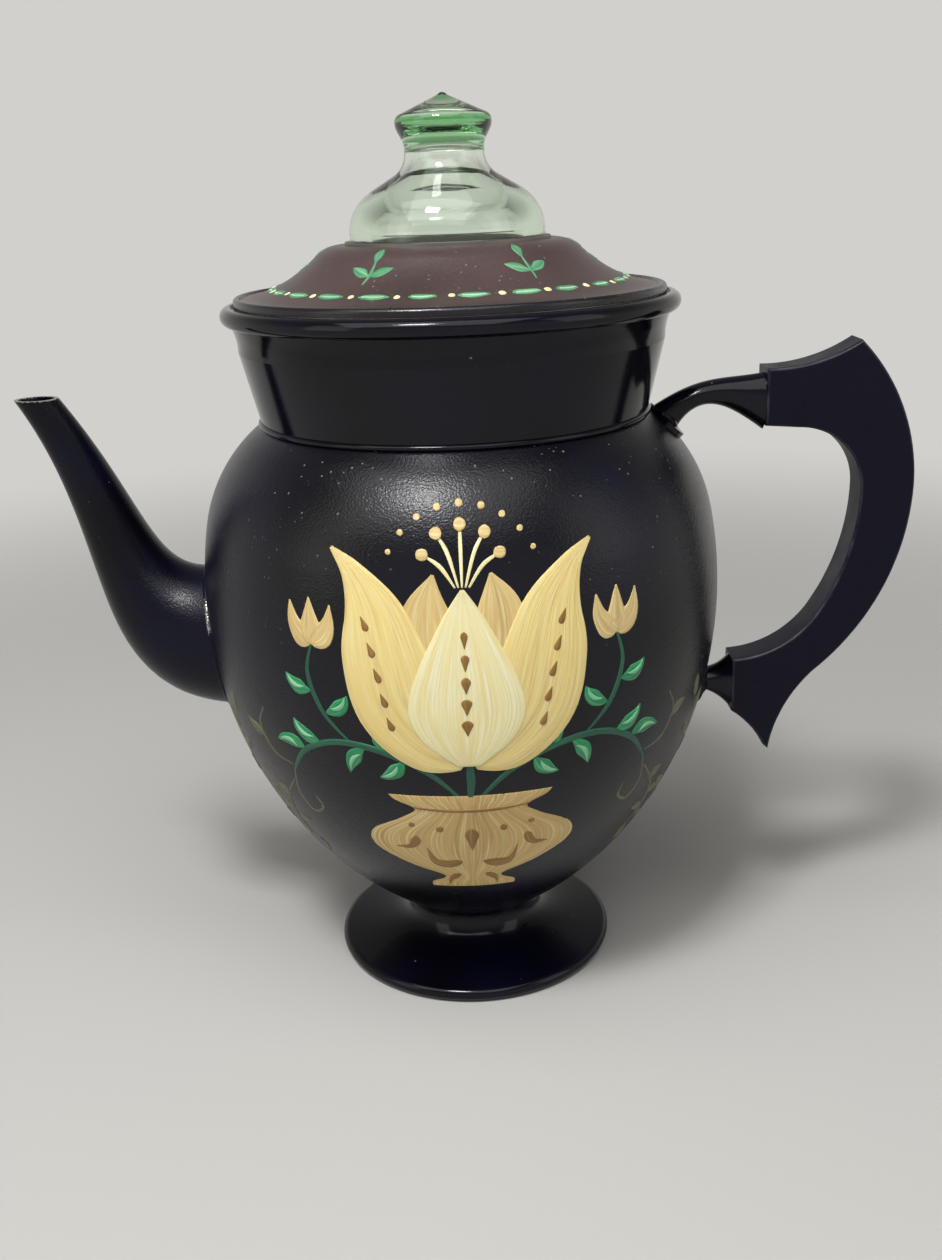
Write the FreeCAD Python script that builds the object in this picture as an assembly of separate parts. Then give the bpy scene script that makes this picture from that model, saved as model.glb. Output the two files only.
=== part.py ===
import FreeCAD, Part
import math
import os

# A stove-top coffee percolator: a round pot on a flared foot, with a curved pouring spout, a flat
# grip on two metal brackets, a lift-off lid with a glass top, and the pump and basket inside.
# Millimetres. The origin is on the pot's axis, on the surface that the foot stands on. +Z is up,
# the spout points along -X and the handle along +X.

# Sheet metal and fits
WALL = 1.2                    # sheet of the pot, neck and foot
THIN_SHEET = 0.9              # sheet of the lid's fittings and of the pieces inside
SEAM_GAP = 0.05               # soldered, pressed and riveted joints
MOVING_GAP = 0.4              # pieces that lift or turn past each other

# Pot body: a side arc that turns into a tighter shoulder arc
BODY_RADIUS = 80.0
SIDE_ARC = 128.0
SHOULDER_ARC = 46.5
SHOULDER_TURN = 11.3          # degrees above the widest level where the shoulder starts
WAIST_HOLE = 19.0             # radius of the hole in the pot's bottom

# Foot and its base plate
FOOT_RADIUS = 45.7
FOOT_HEIGHT = 16.0            # level of the hole's edge in the pot's bottom
FOOT_ROLL = 2.2               # radius of the rolled edge
FOOT_LAND = 2.4               # width of the flat that stands on the table
FLARE_CURL = 2.5              # how tightly the flare turns out of the waist
FLARE_REACH = 8.0             # how far out the turn reaches
FLARE_SLOPE = 1.6             # rise of the flare from the roll to the turn
SLEEVE_RISE = 4.0             # the foot's sleeve stands this far into the pot

# Neck collar with its rolled rim
NECK_RADIUS = 58.5            # outside, at the seam with the body
NECK_BAND_RADIUS = 63.3       # outside, where the coved band under the rim starts
NECK_BAND = 7.7               # height of that band
NECK_HEIGHT = 32.35           # seam to the middle of the rim bead
BEAD = 2.6                    # radius of the rim bead
BEAD_RING = 65.2              # radius of the circle that the bead follows
BEAD_TUCK = 95.0              # degrees below level where the wall meets the bead
HEM = 0.8                     # half-round hem along the seam
BAND_COVE = 0.5               # hollow of the band
LEDGE_DROP = 0.85             # the lid's ledge lies this far under the top of the bead
LEDGE_WIDTH = 2.6
LEDGE_INSET = 0.6             # from the bead's circle in to the ledge's outer wall

# Spout: a tapered curve from the pot's side to a level-cut lip
SPOUT_HEIGHT = 113.0          # level of the curve's start, inside the pot
SPOUT_START = 66.0            # start of the curve, from the axis
SPOUT_REACH = 49.3            # end of the curve, beyond the pot's widest radius
SPOUT_RISE = 80.0             # end of the curve, above its start
SPOUT_CUT = 4.4               # the lip is cut level this far under the curve's end
SPOUT_ROOT_PULL = (47.7, 4.7) # outward and downward pull on the curve at the root
SPOUT_LIP_PULL = (31.7, 46.4) # inward and downward pull on the curve at the lip
SPOUT_LEAN = 60.0             # degrees that the sections turn from upright at the root
SPOUT_FAN = 0.66              # how early they turn
SPOUT_ROOT = 25.6             # half height at the start
SPOUT_LIP = 5.35              # half height at the end
SPOUT_TAPER = 1.35
SPOUT_SLIM = 0.12             # the root is narrower than it is tall by this share
SPOUT_WALL = 1.0
STRAINER_HOLE = 1.8           # radius of the strainer holes behind the spout
STRAINER_PITCH = 6.0

# Handle grip: a flat outline, measured from the middle of its upper end face
GRIP_STANDOFF = 14.0          # upper end face, beyond the pot's widest radius
GRIP_LIFT = 2.1               # middle of the upper end face, above the seam
GRIP_THICKNESS = 13.0
GRIP_EDGE = 1.1               # rounding of the edges
GRIP_EDGE_SHARE = 0.45        # the rounding takes at most this share of the tail's short flat
GRIP_END = 17.3               # height of the upper end face
GRIP_HORN = (28.0, 16.1)      # tip at the top
GRIP_WIDEST = (46.5, -28.9)
GRIP_TAIL_JOIN = (18.0, -88.7)
GRIP_TAIL_TIP = (4.4, -115.5)
GRIP_TIP_FLAT = (-1.8, 1.7)
GRIP_FOOT = (-8.0, -92.55)    # middle of the lower end face
GRIP_FOOT_END = 17.9          # height of the lower end face
GRIP_PALM_LOW = (19.5, -67.1)
GRIP_PALM = (30.0, -29.1)
GRIP_PALM_TOP = (10.4, -9.5)
TOP_BULGE = 2.2               # rise of each arc from its chord
BACK_BULGE = 4.84
LOW_BACK_BULGE = 7.27
TAIL_BULGE = 2.5
TAIL_UNDER_BULGE = 1.1
PALM_LOW_BULGE = 4.2
PALM_BULGE = 2.75
PALM_TOP_BULGE = 5.56

# Brackets, their tangs in the grip and their pads on the pot
PAD_THICKNESS = 1.6
PAD_REACH = 9.6               # depth, each way from the pot, of the cutters for a pad and its holes
UPPER_PAD_TURN = 46.0         # degrees up the shoulder arc
UPPER_PAD = 6.6               # half heights of the pads, up the slope
LOWER_PAD = 7.0
PAD_MARGIN = 1.6              # pad beyond its rivets
ARM_DROP = 1.85               # the arm's end lies under the middle of the grip's end face
ARM_LEAVE = 53.0              # degrees that the arm climbs at its pad
ARM_MEET = 16.7               # degrees that the arm falls at the grip
ARM_FAN = 4.0                 # how early its sections turn square to the grip
ARM_ROOT_PULL = 22.4          # stiffness of the arm's curve at its two ends
ARM_END_PULL = 14.3
ARM_ROOT = 7.5                # half heights of the arm
ARM_WAIST = 2.4
ARM_END = 8.6
ARM_ROOT_WIDTH = 4.6          # half widths
ARM_WAIST_WIDTH = 4.2
ARM_END_WIDTH = 5.8
STUB_RISE = 1.2               # the lower bracket's root lies above the middle of its end
STUB_ROOT = 3.2               # half heights of the lower bracket
STUB_END = 8.9
STUB_ROOT_WIDTH = 4.4
STUB_END_WIDTH = 6.0
TANG_RADIUS = 3.0
UPPER_TANG = 20.0
LOWER_TANG = 14.0
PIN_RADIUS = 1.5
PIN_SHARE = 0.6               # the pin crosses its tang at this share of the tang's length
RIVET_RADIUS = 1.6
RIVET_HEAD = 2.7
RIVET_HEAD_HEIGHT = 1.1
RIVET_CLEAR = 0.6             # between a rivet's head and the arm

# Lid
LID_PLAY = 1.0                # between the lid's edge and the rim
LID_ROLL = 1.2                # radius of the rolled edge
LID_ROLL_TURN = 150.0         # degrees that the edge is rolled
LID_RISE = 15.6               # top of the lid's land, above its seat on the skirt
LID_COVE = 40.9               # hollow arc of the lid's slope
LID_COVE_REACH = 3.6          # the hollow's lowest point, beyond the lid's edge
LID_COVE_LIFT = 1.3           # and above the lid's seat
LID_LAND = 32.0               # radius of the flat land round the glass
SKIRT_DEPTH = 9.0

# Glass top and its bayonet collar
GLASS_BASE = 28.6
GLASS_EDGE = 1.9              # upright edge at the base
GLASS_DOME = 13.5             # arc of the dome
GLASS_SLOPE = 8.0             # straight slope from the dome's arc to the neck's
GLASS_NECK = 11.5
GLASS_COVE = 7.0              # arc of the neck
GLASS_NECK_HEIGHT = 1.2       # straight part of the neck, over its arc
GLASS_WALL = 6.4              # at the base
GLASS_NECK_WALL = 2.6
GLASS_CEILING = 2.6           # the hollow's top, above the neck's arc
FINIAL_RADIUS = 13.9
FINIAL_FLARE = 7.0            # height of the flare from the neck to the finial's edge
FINIAL_SWEEP = 3.0            # how slowly the flare turns at its two ends
FINIAL_GIRDLE = 1.6           # finial's upright edge
FINIAL_ROUND = 1.5            # rounding over that edge
FINIAL_CONE = 6.2             # height of the pointed top
FINIAL_TIP = 1.6              # half width of the blunt point
SPIGOT_WALL = 2.1
SPIGOT_DEPTH = 4.3
LUG = 1.9                     # how far the two lugs stand out of the spigot
LUG_HEIGHT = 2.6
LUG_ANGLE = 40.0              # degrees
COLLAR_FLANGE = 1.5           # the collar shows this wide round the glass
COLLAR_LIP = 2.0              # clinched lip under the lid
COLLAR_SHEET = 0.8

# Pump
TUBE_RADIUS = 4.5
TUBE_WALL = 0.8
TUBE_BELOW_LAND = 4.0         # the tube ends this far under the lid's land
BELL_PLAY = 1.2               # between the bell and the foot's sleeve
BELL_SKIRT = 7.0
BELL_HEIGHT = 24.0
BELL_COLLAR = 6.0
BELL_NOTCH = 2.2
BELL_NOTCHES = 4
SEAT_HEIGHT = 4.0             # valve seat above the base plate
SEAT_HOLE = 5.0
VALVE_RADIUS = 8.0
VALVE_TRAVEL = 2.0
TUBE_SLOT = 2.4               # radius of the cross slot at the tube's foot
STOP_WIDTH = 4.5              # basket stop
STOP_HEIGHT = 3.0

# Basket and spreader
BASKET_PLAY = 8.3             # between the basket's flange and the pot's opening
BASKET_FLANGE = 1.5
BASKET_HEIGHT = 52.0
BASKET_DROP = 26.0            # basket's top under the lid's ledge
BASKET_HOLE = 1.2
BASKET_PITCH = 8.0
SPREADER_LIP = 4.0
SPREADER_LOCATOR = 2.5
SPREADER_HOLE = 1.2
SPREADER_PITCH = 9.0

LIMB_STEPS = 8                # sections along the spout and the bracket arms
SAME_POINT = 1e-6             # nearer points count as one

Z_AXIS = FreeCAD.Vector(0, 0, 1)
Y_AXIS = FreeCAD.Vector(0, 1, 0)
X_AXIS = FreeCAD.Vector(1, 0, 0)


# Helpers. A flat point is (radius or x, z) in the plane of the spout and handle.

def at(point, y=0.0):
    return FreeCAD.Vector(point[0], y, point[1])


def on_circle(centre, radius, degrees):
    turn = math.radians(degrees)
    return (centre[0] + radius * math.cos(turn), centre[1] + radius * math.sin(turn))


def arc(centre, radius, start, end):
    """Arc for an outline: its middle point and its end point."""
    return (on_circle(centre, radius, (start + end) / 2), on_circle(centre, radius, end))


def bulged(start, end, bulge):
    """Arc for an outline that rises by bulge to the left of the chord from start to end."""
    dx, dz = end[0] - start[0], end[1] - start[1]
    length = math.hypot(dx, dz)
    middle = ((start[0] + end[0]) / 2, (start[1] + end[1]) / 2)
    return ((middle[0] - bulge * dz / length, middle[1] + bulge * dx / length), end)


def curve(*poles):
    """Bezier stretch of an outline, after the point that the outline has reached."""
    return {"poles": poles}


def outline(start, *moves):
    """Closed face: a point is a straight run, a (middle, end) pair an arc, a curve its poles."""
    edges = []
    here = start
    for move in moves + (start,):
        if isinstance(move, dict):
            end = move["poles"][-1]
            bezier = Part.BezierCurve()
            bezier.setPoles([at(here)] + [at(pole) for pole in move["poles"]])
            edges.append(bezier.toShape())
        elif isinstance(move[0], tuple):
            end = move[1]
            edges.append(Part.Arc(at(here), at(move[0]), at(end)).toShape())
        else:
            end = move
            if at(here).distanceToPoint(at(end)) > SAME_POINT:
                edges.append(Part.LineSegment(at(here), at(end)).toShape())
        here = end
    return Part.Face(Part.Wire(edges))


def spin(face):
    return face.revolve(FreeCAD.Vector(), Z_AXIS, 360)


def ring(inner, outer, low, high):
    """Round plate or tube on the axis."""
    solid = Part.makeCylinder(outer, high - low, FreeCAD.Vector(0, 0, low))
    if inner <= 0:
        return solid
    return solid.cut(Part.makeCylinder(inner, high - low, FreeCAD.Vector(0, 0, low)))


def ring_of_points(inner, outer, pitch):
    """Points on circles a pitch apart, spread evenly along each circle."""
    points = []
    for row in range(int((outer - inner) / pitch) + 1):
        radius = inner + row * pitch
        count = max(3, int(2 * math.pi * radius / pitch))
        for step in range(count):
            points.append(on_circle((0, 0), radius, 360 * step / count))
    return points


def perforate(solid, points, hole, low, high):
    drills = [Part.makeCylinder(hole, high - low, FreeCAD.Vector(x, y, low)) for x, y in points]
    return solid.cut(Part.makeCompound(drills))


def bezier_point(poles, share):
    back = 1 - share
    weights = (back ** 3, 3 * back ** 2 * share, 3 * back * share ** 2, share ** 3)
    return tuple(sum(w * pole[axis] for w, pole in zip(weights, poles)) for axis in (0, 1))


def oval(centre, heading, half_height, half_width):
    """Oval wire square to a heading in the plane of the spout and handle."""
    turn = math.radians(heading)
    up = (-math.sin(turn), math.cos(turn))
    along = (math.cos(turn), math.sin(turn))
    place = FreeCAD.Matrix(
        up[0] * half_height, 0, along[0], centre[0],
        0, half_width, 0, 0,
        up[1] * half_height, 0, along[1], centre[1])
    return Part.Wire(Part.Circle().toShape().transformGeometry(place).Edges)


def limb(poles, heading, half_height, half_width):
    """Tapered round limb along a curve; heading and half sizes are functions of the share along it."""
    sections = []
    for step in range(LIMB_STEPS + 1):
        share = step / LIMB_STEPS
        sections.append(oval(bezier_point(poles, share), heading(share),
                             half_height(share), half_width(share)))
    return Part.makeLoft(sections, True)


def blend(root, waist, end):
    """Size along a limb: root, then waist, then end."""
    return lambda share: waist + (root - waist) * (1 - share) ** 4 + (end - waist) * share ** 3


def rod(centre, direction, radius, start, end):
    """Round rod along a direction, from start to end as measured from centre."""
    base = centre + direction * start
    return Part.makeCylinder(radius, end - start, base, direction)


# Levels and circles worked out from the driving dimensions

side_middle_r = BODY_RADIUS - SIDE_ARC
widest_level = FOOT_HEIGHT + math.sqrt(SIDE_ARC ** 2 - (WAIST_HOLE - side_middle_r) ** 2)
side_middle = (side_middle_r, widest_level)
shoulder_middle = on_circle(side_middle, SIDE_ARC - SHOULDER_ARC, SHOULDER_TURN)
seam_turn = math.degrees(math.acos((NECK_RADIUS - shoulder_middle[0]) / SHOULDER_ARC))
seam_level = on_circle(shoulder_middle, SHOULDER_ARC, seam_turn)[1]
inner_seam_turn = math.degrees(math.asin((seam_level - shoulder_middle[1]) / (SHOULDER_ARC - WALL)))
opening_radius = on_circle(shoulder_middle, SHOULDER_ARC - WALL, inner_seam_turn)[0]

plate_top = WALL
sleeve_outer = WAIST_HOLE - SEAM_GAP
sleeve_inner = sleeve_outer - WALL
waist_outer = WAIST_HOLE + WALL

bead_middle = (BEAD_RING, seam_level + NECK_HEIGHT)
rim_level = bead_middle[1] + BEAD
ledge_level = rim_level - LEDGE_DROP
ledge_outer = BEAD_RING - LEDGE_INSET
ledge_inner = ledge_outer - LEDGE_WIDTH
neck_top = on_circle(bead_middle, BEAD, -BEAD_TUCK)
band_level = neck_top[1] - NECK_BAND

lid_edge = ledge_outer - LID_PLAY
lid_seat = ledge_level + THIN_SHEET
land_level = lid_seat + LID_RISE
glass_seat = land_level + COLLAR_SHEET
glass_bore = GLASS_BASE - GLASS_WALL
spigot_radius = glass_bore + SPIGOT_WALL

spreader_level = ledge_level - BASKET_DROP
basket_level = spreader_level - BASKET_HEIGHT
basket_rim = opening_radius - BASKET_PLAY
basket_radius = basket_rim - BASKET_FLANGE
tube_hole = TUBE_RADIUS + MOVING_GAP
valve_seat_top = plate_top + SEAT_HEIGHT + THIN_SHEET
tube_foot = valve_seat_top + THIN_SHEET + VALVE_TRAVEL + MOVING_GAP
tube_top = land_level - TUBE_BELOW_LAND
bell_radius = sleeve_inner - BELL_PLAY

grip_upper = (BODY_RADIUS + GRIP_STANDOFF, seam_level + GRIP_LIFT)
grip_lower = (grip_upper[0] + GRIP_FOOT[0], grip_upper[1] + GRIP_FOOT[1])
arm_end = (grip_upper[0], grip_upper[1] - ARM_DROP)
stub_level = grip_lower[1] + STUB_RISE


def side_turn(radius, offset=0.0):
    """Degrees on the side arc, below its widest level, at a radius from the axis."""
    return -math.degrees(math.acos((radius - side_middle_r) / (SIDE_ARC + offset)))


def side_radius(level, offset=0.0):
    """Pot's radius at a level on the side arc."""
    return side_middle_r + math.sqrt((SIDE_ARC + offset) ** 2 - (level - widest_level) ** 2)


def neck_inner_radius(level):
    """Inside radius of the neck's straight part, or of its band at the band's foot and above."""
    share = min(1.0, (level - seam_level) / (band_level - seam_level))
    return NECK_RADIUS + (NECK_BAND_RADIUS - NECK_RADIUS) * share - WALL


def pot_envelope(gap):
    """Solid that fills the pot's outside, grown by a gap."""
    side, shoulder = SIDE_ARC + gap, SHOULDER_ARC + gap
    low_turn = side_turn(WAIST_HOLE, gap)
    low = on_circle(side_middle, side, low_turn)
    high = on_circle(shoulder_middle, shoulder, seam_turn)
    return spin(outline(
        low,
        arc(side_middle, side, low_turn, SHOULDER_TURN),
        arc(shoulder_middle, shoulder, SHOULDER_TURN, seam_turn),
        (0, high[1]),
        (0, low[1])))


def neck_envelope(gap):
    """Solid that fills the neck's outside up to its rim, grown by a gap."""
    base = NECK_RADIUS + HEM + gap
    return spin(outline(
        (0, seam_level - gap),
        (base, seam_level - gap),
        (base, seam_level + 2 * HEM + gap),
        (neck_top[0] + gap, neck_top[1]),
        (0, neck_top[1])))


# Pads and rivets that hold the two brackets on the pot

class Pad:
    """Where a bracket sits on the pot: its middle, its outward direction and its sizes."""

    def __init__(self, middle, heading, half_up, arm_half_width):
        self.middle = at(middle)
        self.heading = heading
        self.out = at(on_circle((0, 0), 1.0, heading))
        self.half_up = half_up
        self.rivet_offset = arm_half_width + RIVET_CLEAR + RIVET_HEAD
        self.half_round = self.rivet_offset + RIVET_HEAD + PAD_MARGIN

    def plate(self):
        base = self.middle - self.out * PAD_REACH
        ring_wire = oval((base.x, base.z), self.heading, self.half_up, self.half_round)
        block = Part.Face(ring_wire).extrude(self.out * (2 * PAD_REACH))
        return block.common(pot_envelope(PAD_THICKNESS)).cut(pot_envelope(SEAM_GAP))

    def rivet_places(self):
        """Foot and direction of each rivet: the same slope, turned round the pot's axis."""
        places = []
        for side in (-1, 1):
            turn = side * math.degrees(self.rivet_offset / self.middle.x)
            spot = FreeCAD.Rotation(Z_AXIS, turn)
            places.append((spot.multVec(self.middle), spot.multVec(self.out)))
        return places

    def rivet_holes(self):
        drills = [rod(foot, out, RIVET_RADIUS + SEAM_GAP, -PAD_REACH, PAD_REACH)
                  for foot, out in self.rivet_places()]
        return Part.makeCompound(drills)

    def rivets(self):
        """Shank with a domed head outside the pad and a flat one inside the pot."""
        solids = []
        dome = (RIVET_HEAD ** 2 + RIVET_HEAD_HEIGHT ** 2) / (2 * RIVET_HEAD_HEIGHT)
        for foot, out in self.rivet_places():
            outer_face = PAD_THICKNESS + 2 * SEAM_GAP
            inner_face = -WALL - 2 * SEAM_GAP
            shank = rod(foot, out, RIVET_RADIUS, inner_face, outer_face)
            ball = Part.makeSphere(dome, foot + out * (outer_face + RIVET_HEAD_HEIGHT - dome))
            head = ball.common(rod(foot, out, RIVET_HEAD, outer_face, outer_face + 2 * dome))
            tail = rod(foot, out, RIVET_HEAD, inner_face - THIN_SHEET, inner_face)
            solids.append(shank.fuse(head).fuse(tail).removeSplitter())
        return Part.makeCompound(solids)


upper_pad = Pad(on_circle(shoulder_middle, SHOULDER_ARC, UPPER_PAD_TURN), UPPER_PAD_TURN,
                UPPER_PAD, ARM_ROOT_WIDTH)
lower_pad_turn = math.degrees(math.asin((stub_level - widest_level) / SIDE_ARC))
lower_pad = Pad((side_radius(stub_level), stub_level), lower_pad_turn,
                LOWER_PAD, STUB_ROOT_WIDTH)


# Pot

def body_shell():
    side, shoulder = SIDE_ARC - WALL, SHOULDER_ARC - WALL
    low_turn, inner_low_turn = side_turn(WAIST_HOLE), side_turn(WAIST_HOLE, -WALL)
    shell = spin(outline(
        on_circle(side_middle, SIDE_ARC, low_turn),
        arc(side_middle, SIDE_ARC, low_turn, SHOULDER_TURN),
        arc(shoulder_middle, SHOULDER_ARC, SHOULDER_TURN, seam_turn),
        (opening_radius, seam_level),
        arc(shoulder_middle, shoulder, inner_seam_turn, SHOULDER_TURN),
        arc(side_middle, side, SHOULDER_TURN, inner_low_turn)))
    drills = []
    spots = [(0.0, 0.0)] + ring_of_points(STRAINER_PITCH, 2 * STRAINER_PITCH, STRAINER_PITCH)
    for across, up in spots:
        start = FreeCAD.Vector(-BODY_RADIUS - WALL, across, SPOUT_HEIGHT + up)
        drills.append(Part.makeCylinder(STRAINER_HOLE, BODY_RADIUS - SPOUT_START, start, X_AXIS))
    shell = shell.cut(Part.makeCompound(drills))
    return shell.cut(upper_pad.rivet_holes()).cut(lower_pad.rivet_holes())


def neck_collar():
    band_foot = (NECK_BAND_RADIUS, band_level)
    inner_top = neck_top[0] - WALL
    return spin(outline(
        (NECK_RADIUS, seam_level),
        ((NECK_RADIUS + HEM, seam_level + HEM), (NECK_RADIUS, seam_level + 2 * HEM)),
        band_foot,
        bulged(band_foot, neck_top, BAND_COVE),
        arc(bead_middle, BEAD, -BEAD_TUCK, 90),
        (ledge_outer, rim_level),
        (ledge_outer, ledge_level),
        (ledge_inner, ledge_level),
        (ledge_inner, ledge_level - WALL),
        (inner_top, ledge_level - WALL),
        (inner_top, neck_top[1]),
        (NECK_BAND_RADIUS - WALL, band_level),
        (NECK_RADIUS - WALL, seam_level)))


def foot():
    roll_top = 2 * FOOT_ROLL
    roll_middle = FOOT_RADIUS - FOOT_ROLL
    land_inner = roll_middle - FOOT_LAND
    inner_top = roll_top - WALL
    column = FOOT_HEIGHT + SLEEVE_RISE
    shell = spin(outline(
        (waist_outer, column),
        (waist_outer, FOOT_HEIGHT),
        curve((waist_outer, roll_top + FLARE_CURL),
              (waist_outer + FLARE_REACH, roll_top + FLARE_SLOPE),
              (roll_middle, roll_top)),
        ((FOOT_RADIUS, FOOT_ROLL), (roll_middle, 0)),
        (land_inner, 0),
        (land_inner, inner_top),
        curve((sleeve_inner + FLARE_REACH, inner_top + FLARE_SLOPE),
              (sleeve_inner, inner_top + FLARE_CURL),
              (sleeve_inner, FOOT_HEIGHT)),
        (sleeve_inner, column)))
    shell = shell.cut(pot_envelope(SEAM_GAP))
    return shell.fuse(ring(sleeve_inner, sleeve_outer, FOOT_HEIGHT - WALL, column)).removeSplitter()


def base_plate():
    return ring(0, FOOT_RADIUS - FOOT_ROLL - FOOT_LAND - SEAM_GAP, 0, plate_top)


def spout_curve(inset):
    """Spout as a solid curve; the inset takes the wall off for its bore."""
    root = (-SPOUT_START, SPOUT_HEIGHT)
    end = (-BODY_RADIUS - SPOUT_REACH, SPOUT_HEIGHT + SPOUT_RISE)
    poles = (root,
             (root[0] - SPOUT_ROOT_PULL[0], root[1] - SPOUT_ROOT_PULL[1]),
             (end[0] + SPOUT_LIP_PULL[0], end[1] - SPOUT_LIP_PULL[1]),
             end)

    def heading(share):
        return 180 - SPOUT_LEAN * share ** SPOUT_FAN

    def half_height(share):
        return SPOUT_LIP + (SPOUT_ROOT - SPOUT_LIP) * (1 - share) ** SPOUT_TAPER - inset

    def half_width(share):
        return half_height(share) * (1 - SPOUT_SLIM * (1 - share))

    return limb(poles, heading, half_height, half_width)


def spout():
    lip_level = SPOUT_HEIGHT + SPOUT_RISE - SPOUT_CUT
    reach = BODY_RADIUS + 2 * SPOUT_REACH
    above = Part.makeBox(reach, 2 * SPOUT_ROOT, SPOUT_RISE,
                         FreeCAD.Vector(-reach, -SPOUT_ROOT, lip_level))
    tube = spout_curve(0).cut(spout_curve(SPOUT_WALL))
    return tube.cut(pot_envelope(SEAM_GAP)).cut(above)


# Handle

def bracket(pad, arm, end, tang, pin_inset):
    """Pad on the pot, curved arm to the grip's end face and a round tang into the grip."""
    arm = arm.cut(pot_envelope(SEAM_GAP)).cut(neck_envelope(SEAM_GAP))
    arm = arm.fuse(rod(at(end), X_AXIS, TANG_RADIUS, -TANG_RADIUS, tang))
    arm = arm.fuse(pad.plate()).cut(pad.rivet_holes())
    return arm.cut(pin_hole(end, pin_inset)).removeSplitter()


def pin_hole(end, inset):
    middle = FreeCAD.Vector(end[0] + inset, 0, end[1])
    return rod(middle, Y_AXIS, PIN_RADIUS + SEAM_GAP, -GRIP_THICKNESS, GRIP_THICKNESS)


def pin(end, inset):
    middle = FreeCAD.Vector(end[0] + inset, 0, end[1])
    return rod(middle, Y_AXIS, PIN_RADIUS, -GRIP_THICKNESS / 2, GRIP_THICKNESS / 2)


def upper_bracket():
    root = on_circle(shoulder_middle, SHOULDER_ARC - ARM_ROOT, UPPER_PAD_TURN)
    poles = (root, on_circle(root, ARM_ROOT_PULL, ARM_LEAVE),
             on_circle(arm_end, ARM_END_PULL, 180 - ARM_MEET), arm_end)
    arm = limb(poles, lambda share: ARM_LEAVE * (1 - share) ** ARM_FAN,
               blend(ARM_ROOT, ARM_WAIST, ARM_END),
               blend(ARM_ROOT_WIDTH, ARM_WAIST_WIDTH, ARM_END_WIDTH))
    return bracket(upper_pad, arm, arm_end, UPPER_TANG, UPPER_TANG * PIN_SHARE)


def lower_bracket():
    root = (side_radius(stub_level) - STUB_ROOT, stub_level)
    third = (grip_lower[0] - root[0]) / 3
    poles = (root, (root[0] + third, root[1]), (grip_lower[0] - third, grip_lower[1]), grip_lower)
    arm = limb(poles, lambda share: 0.0,
               blend(STUB_ROOT, STUB_ROOT, STUB_END),
               blend(STUB_ROOT_WIDTH, STUB_ROOT_WIDTH, STUB_END_WIDTH))
    return bracket(lower_pad, arm, grip_lower, LOWER_TANG, LOWER_TANG * PIN_SHARE)


def handle_grip():
    def spot(offset):
        return (grip_upper[0] + offset[0], grip_upper[1] + offset[1])

    end_top, end_low = spot((0, GRIP_END / 2)), spot((0, -GRIP_END / 2))
    horn, widest, tail_join = spot(GRIP_HORN), spot(GRIP_WIDEST), spot(GRIP_TAIL_JOIN)
    tail_tip = spot(GRIP_TAIL_TIP)
    tail_flat = (tail_tip[0] + GRIP_TIP_FLAT[0], tail_tip[1] + GRIP_TIP_FLAT[1])
    foot_low = (grip_lower[0], grip_lower[1] - GRIP_FOOT_END / 2)
    foot_top = (grip_lower[0], grip_lower[1] + GRIP_FOOT_END / 2)
    palm_low, palm, palm_top = spot(GRIP_PALM_LOW), spot(GRIP_PALM), spot(GRIP_PALM_TOP)
    face = outline(
        end_top,
        bulged(end_top, horn, -TOP_BULGE),
        bulged(horn, widest, BACK_BULGE),
        bulged(widest, tail_join, LOW_BACK_BULGE),
        bulged(tail_join, tail_tip, -TAIL_BULGE),
        tail_flat,
        bulged(tail_flat, foot_low, -TAIL_UNDER_BULGE),
        foot_top,
        bulged(foot_top, palm_low, -PALM_LOW_BULGE),
        bulged(palm_low, palm, -PALM_BULGE),
        bulged(palm, palm_top, -PALM_TOP_BULGE),
        end_low)
    half = GRIP_THICKNESS / 2
    block = face.extrude(Y_AXIS * GRIP_THICKNESS)
    block.translate(Y_AXIS * -half)
    rims = [edge for edge in block.Edges if edge.BoundBox.YLength < half]
    grip = block.makeFillet(min(GRIP_EDGE, GRIP_EDGE_SHARE * math.hypot(*GRIP_TIP_FLAT)), rims)
    fit = TANG_RADIUS + SEAM_GAP
    for end, tang in ((arm_end, UPPER_TANG), (grip_lower, LOWER_TANG)):
        grip = grip.cut(rod(at(end), X_AXIS, fit, -fit, tang + SEAM_GAP))
        grip = grip.cut(pin_hole(end, tang * PIN_SHARE))
    return grip


# Lid

def lid_shell():
    roll = (lid_edge - LID_ROLL, lid_seat + LID_ROLL)
    cove = (lid_edge + LID_COVE_REACH, lid_seat + LID_COVE_LIFT + LID_COVE)
    across, down = cove[0] - LID_LAND, cove[1] - land_level
    crown_arc = (across ** 2 + down ** 2 - LID_COVE ** 2) / (2 * (LID_COVE - down))
    crown = (LID_LAND, land_level - crown_arc)
    meet = math.degrees(math.atan2(cove[1] - crown[1], cove[0] - crown[0]))
    inner_edge = lid_edge - 2 * LID_ROLL
    hole = collar_outer() + SEAM_GAP

    def cove_turn(radius, arc_radius):
        return 180 + math.degrees(math.acos((cove[0] - radius) / arc_radius))

    low, inner_low = cove_turn(inner_edge, LID_COVE), cove_turn(inner_edge, LID_COVE + THIN_SHEET)
    return spin(outline(
        (lid_edge, lid_seat),
        (lid_edge, roll[1]),
        arc(roll, LID_ROLL, 0, LID_ROLL_TURN),
        on_circle(cove, LID_COVE, low),
        arc(cove, LID_COVE, low, 180 + meet),
        arc(crown, crown_arc, meet, 90),
        (hole, land_level),
        (hole, land_level - THIN_SHEET),
        (LID_LAND, land_level - THIN_SHEET),
        arc(crown, crown_arc - THIN_SHEET, 90, meet),
        arc(cove, LID_COVE + THIN_SHEET, 180 + meet, inner_low),
        (inner_edge, lid_seat)))


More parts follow.
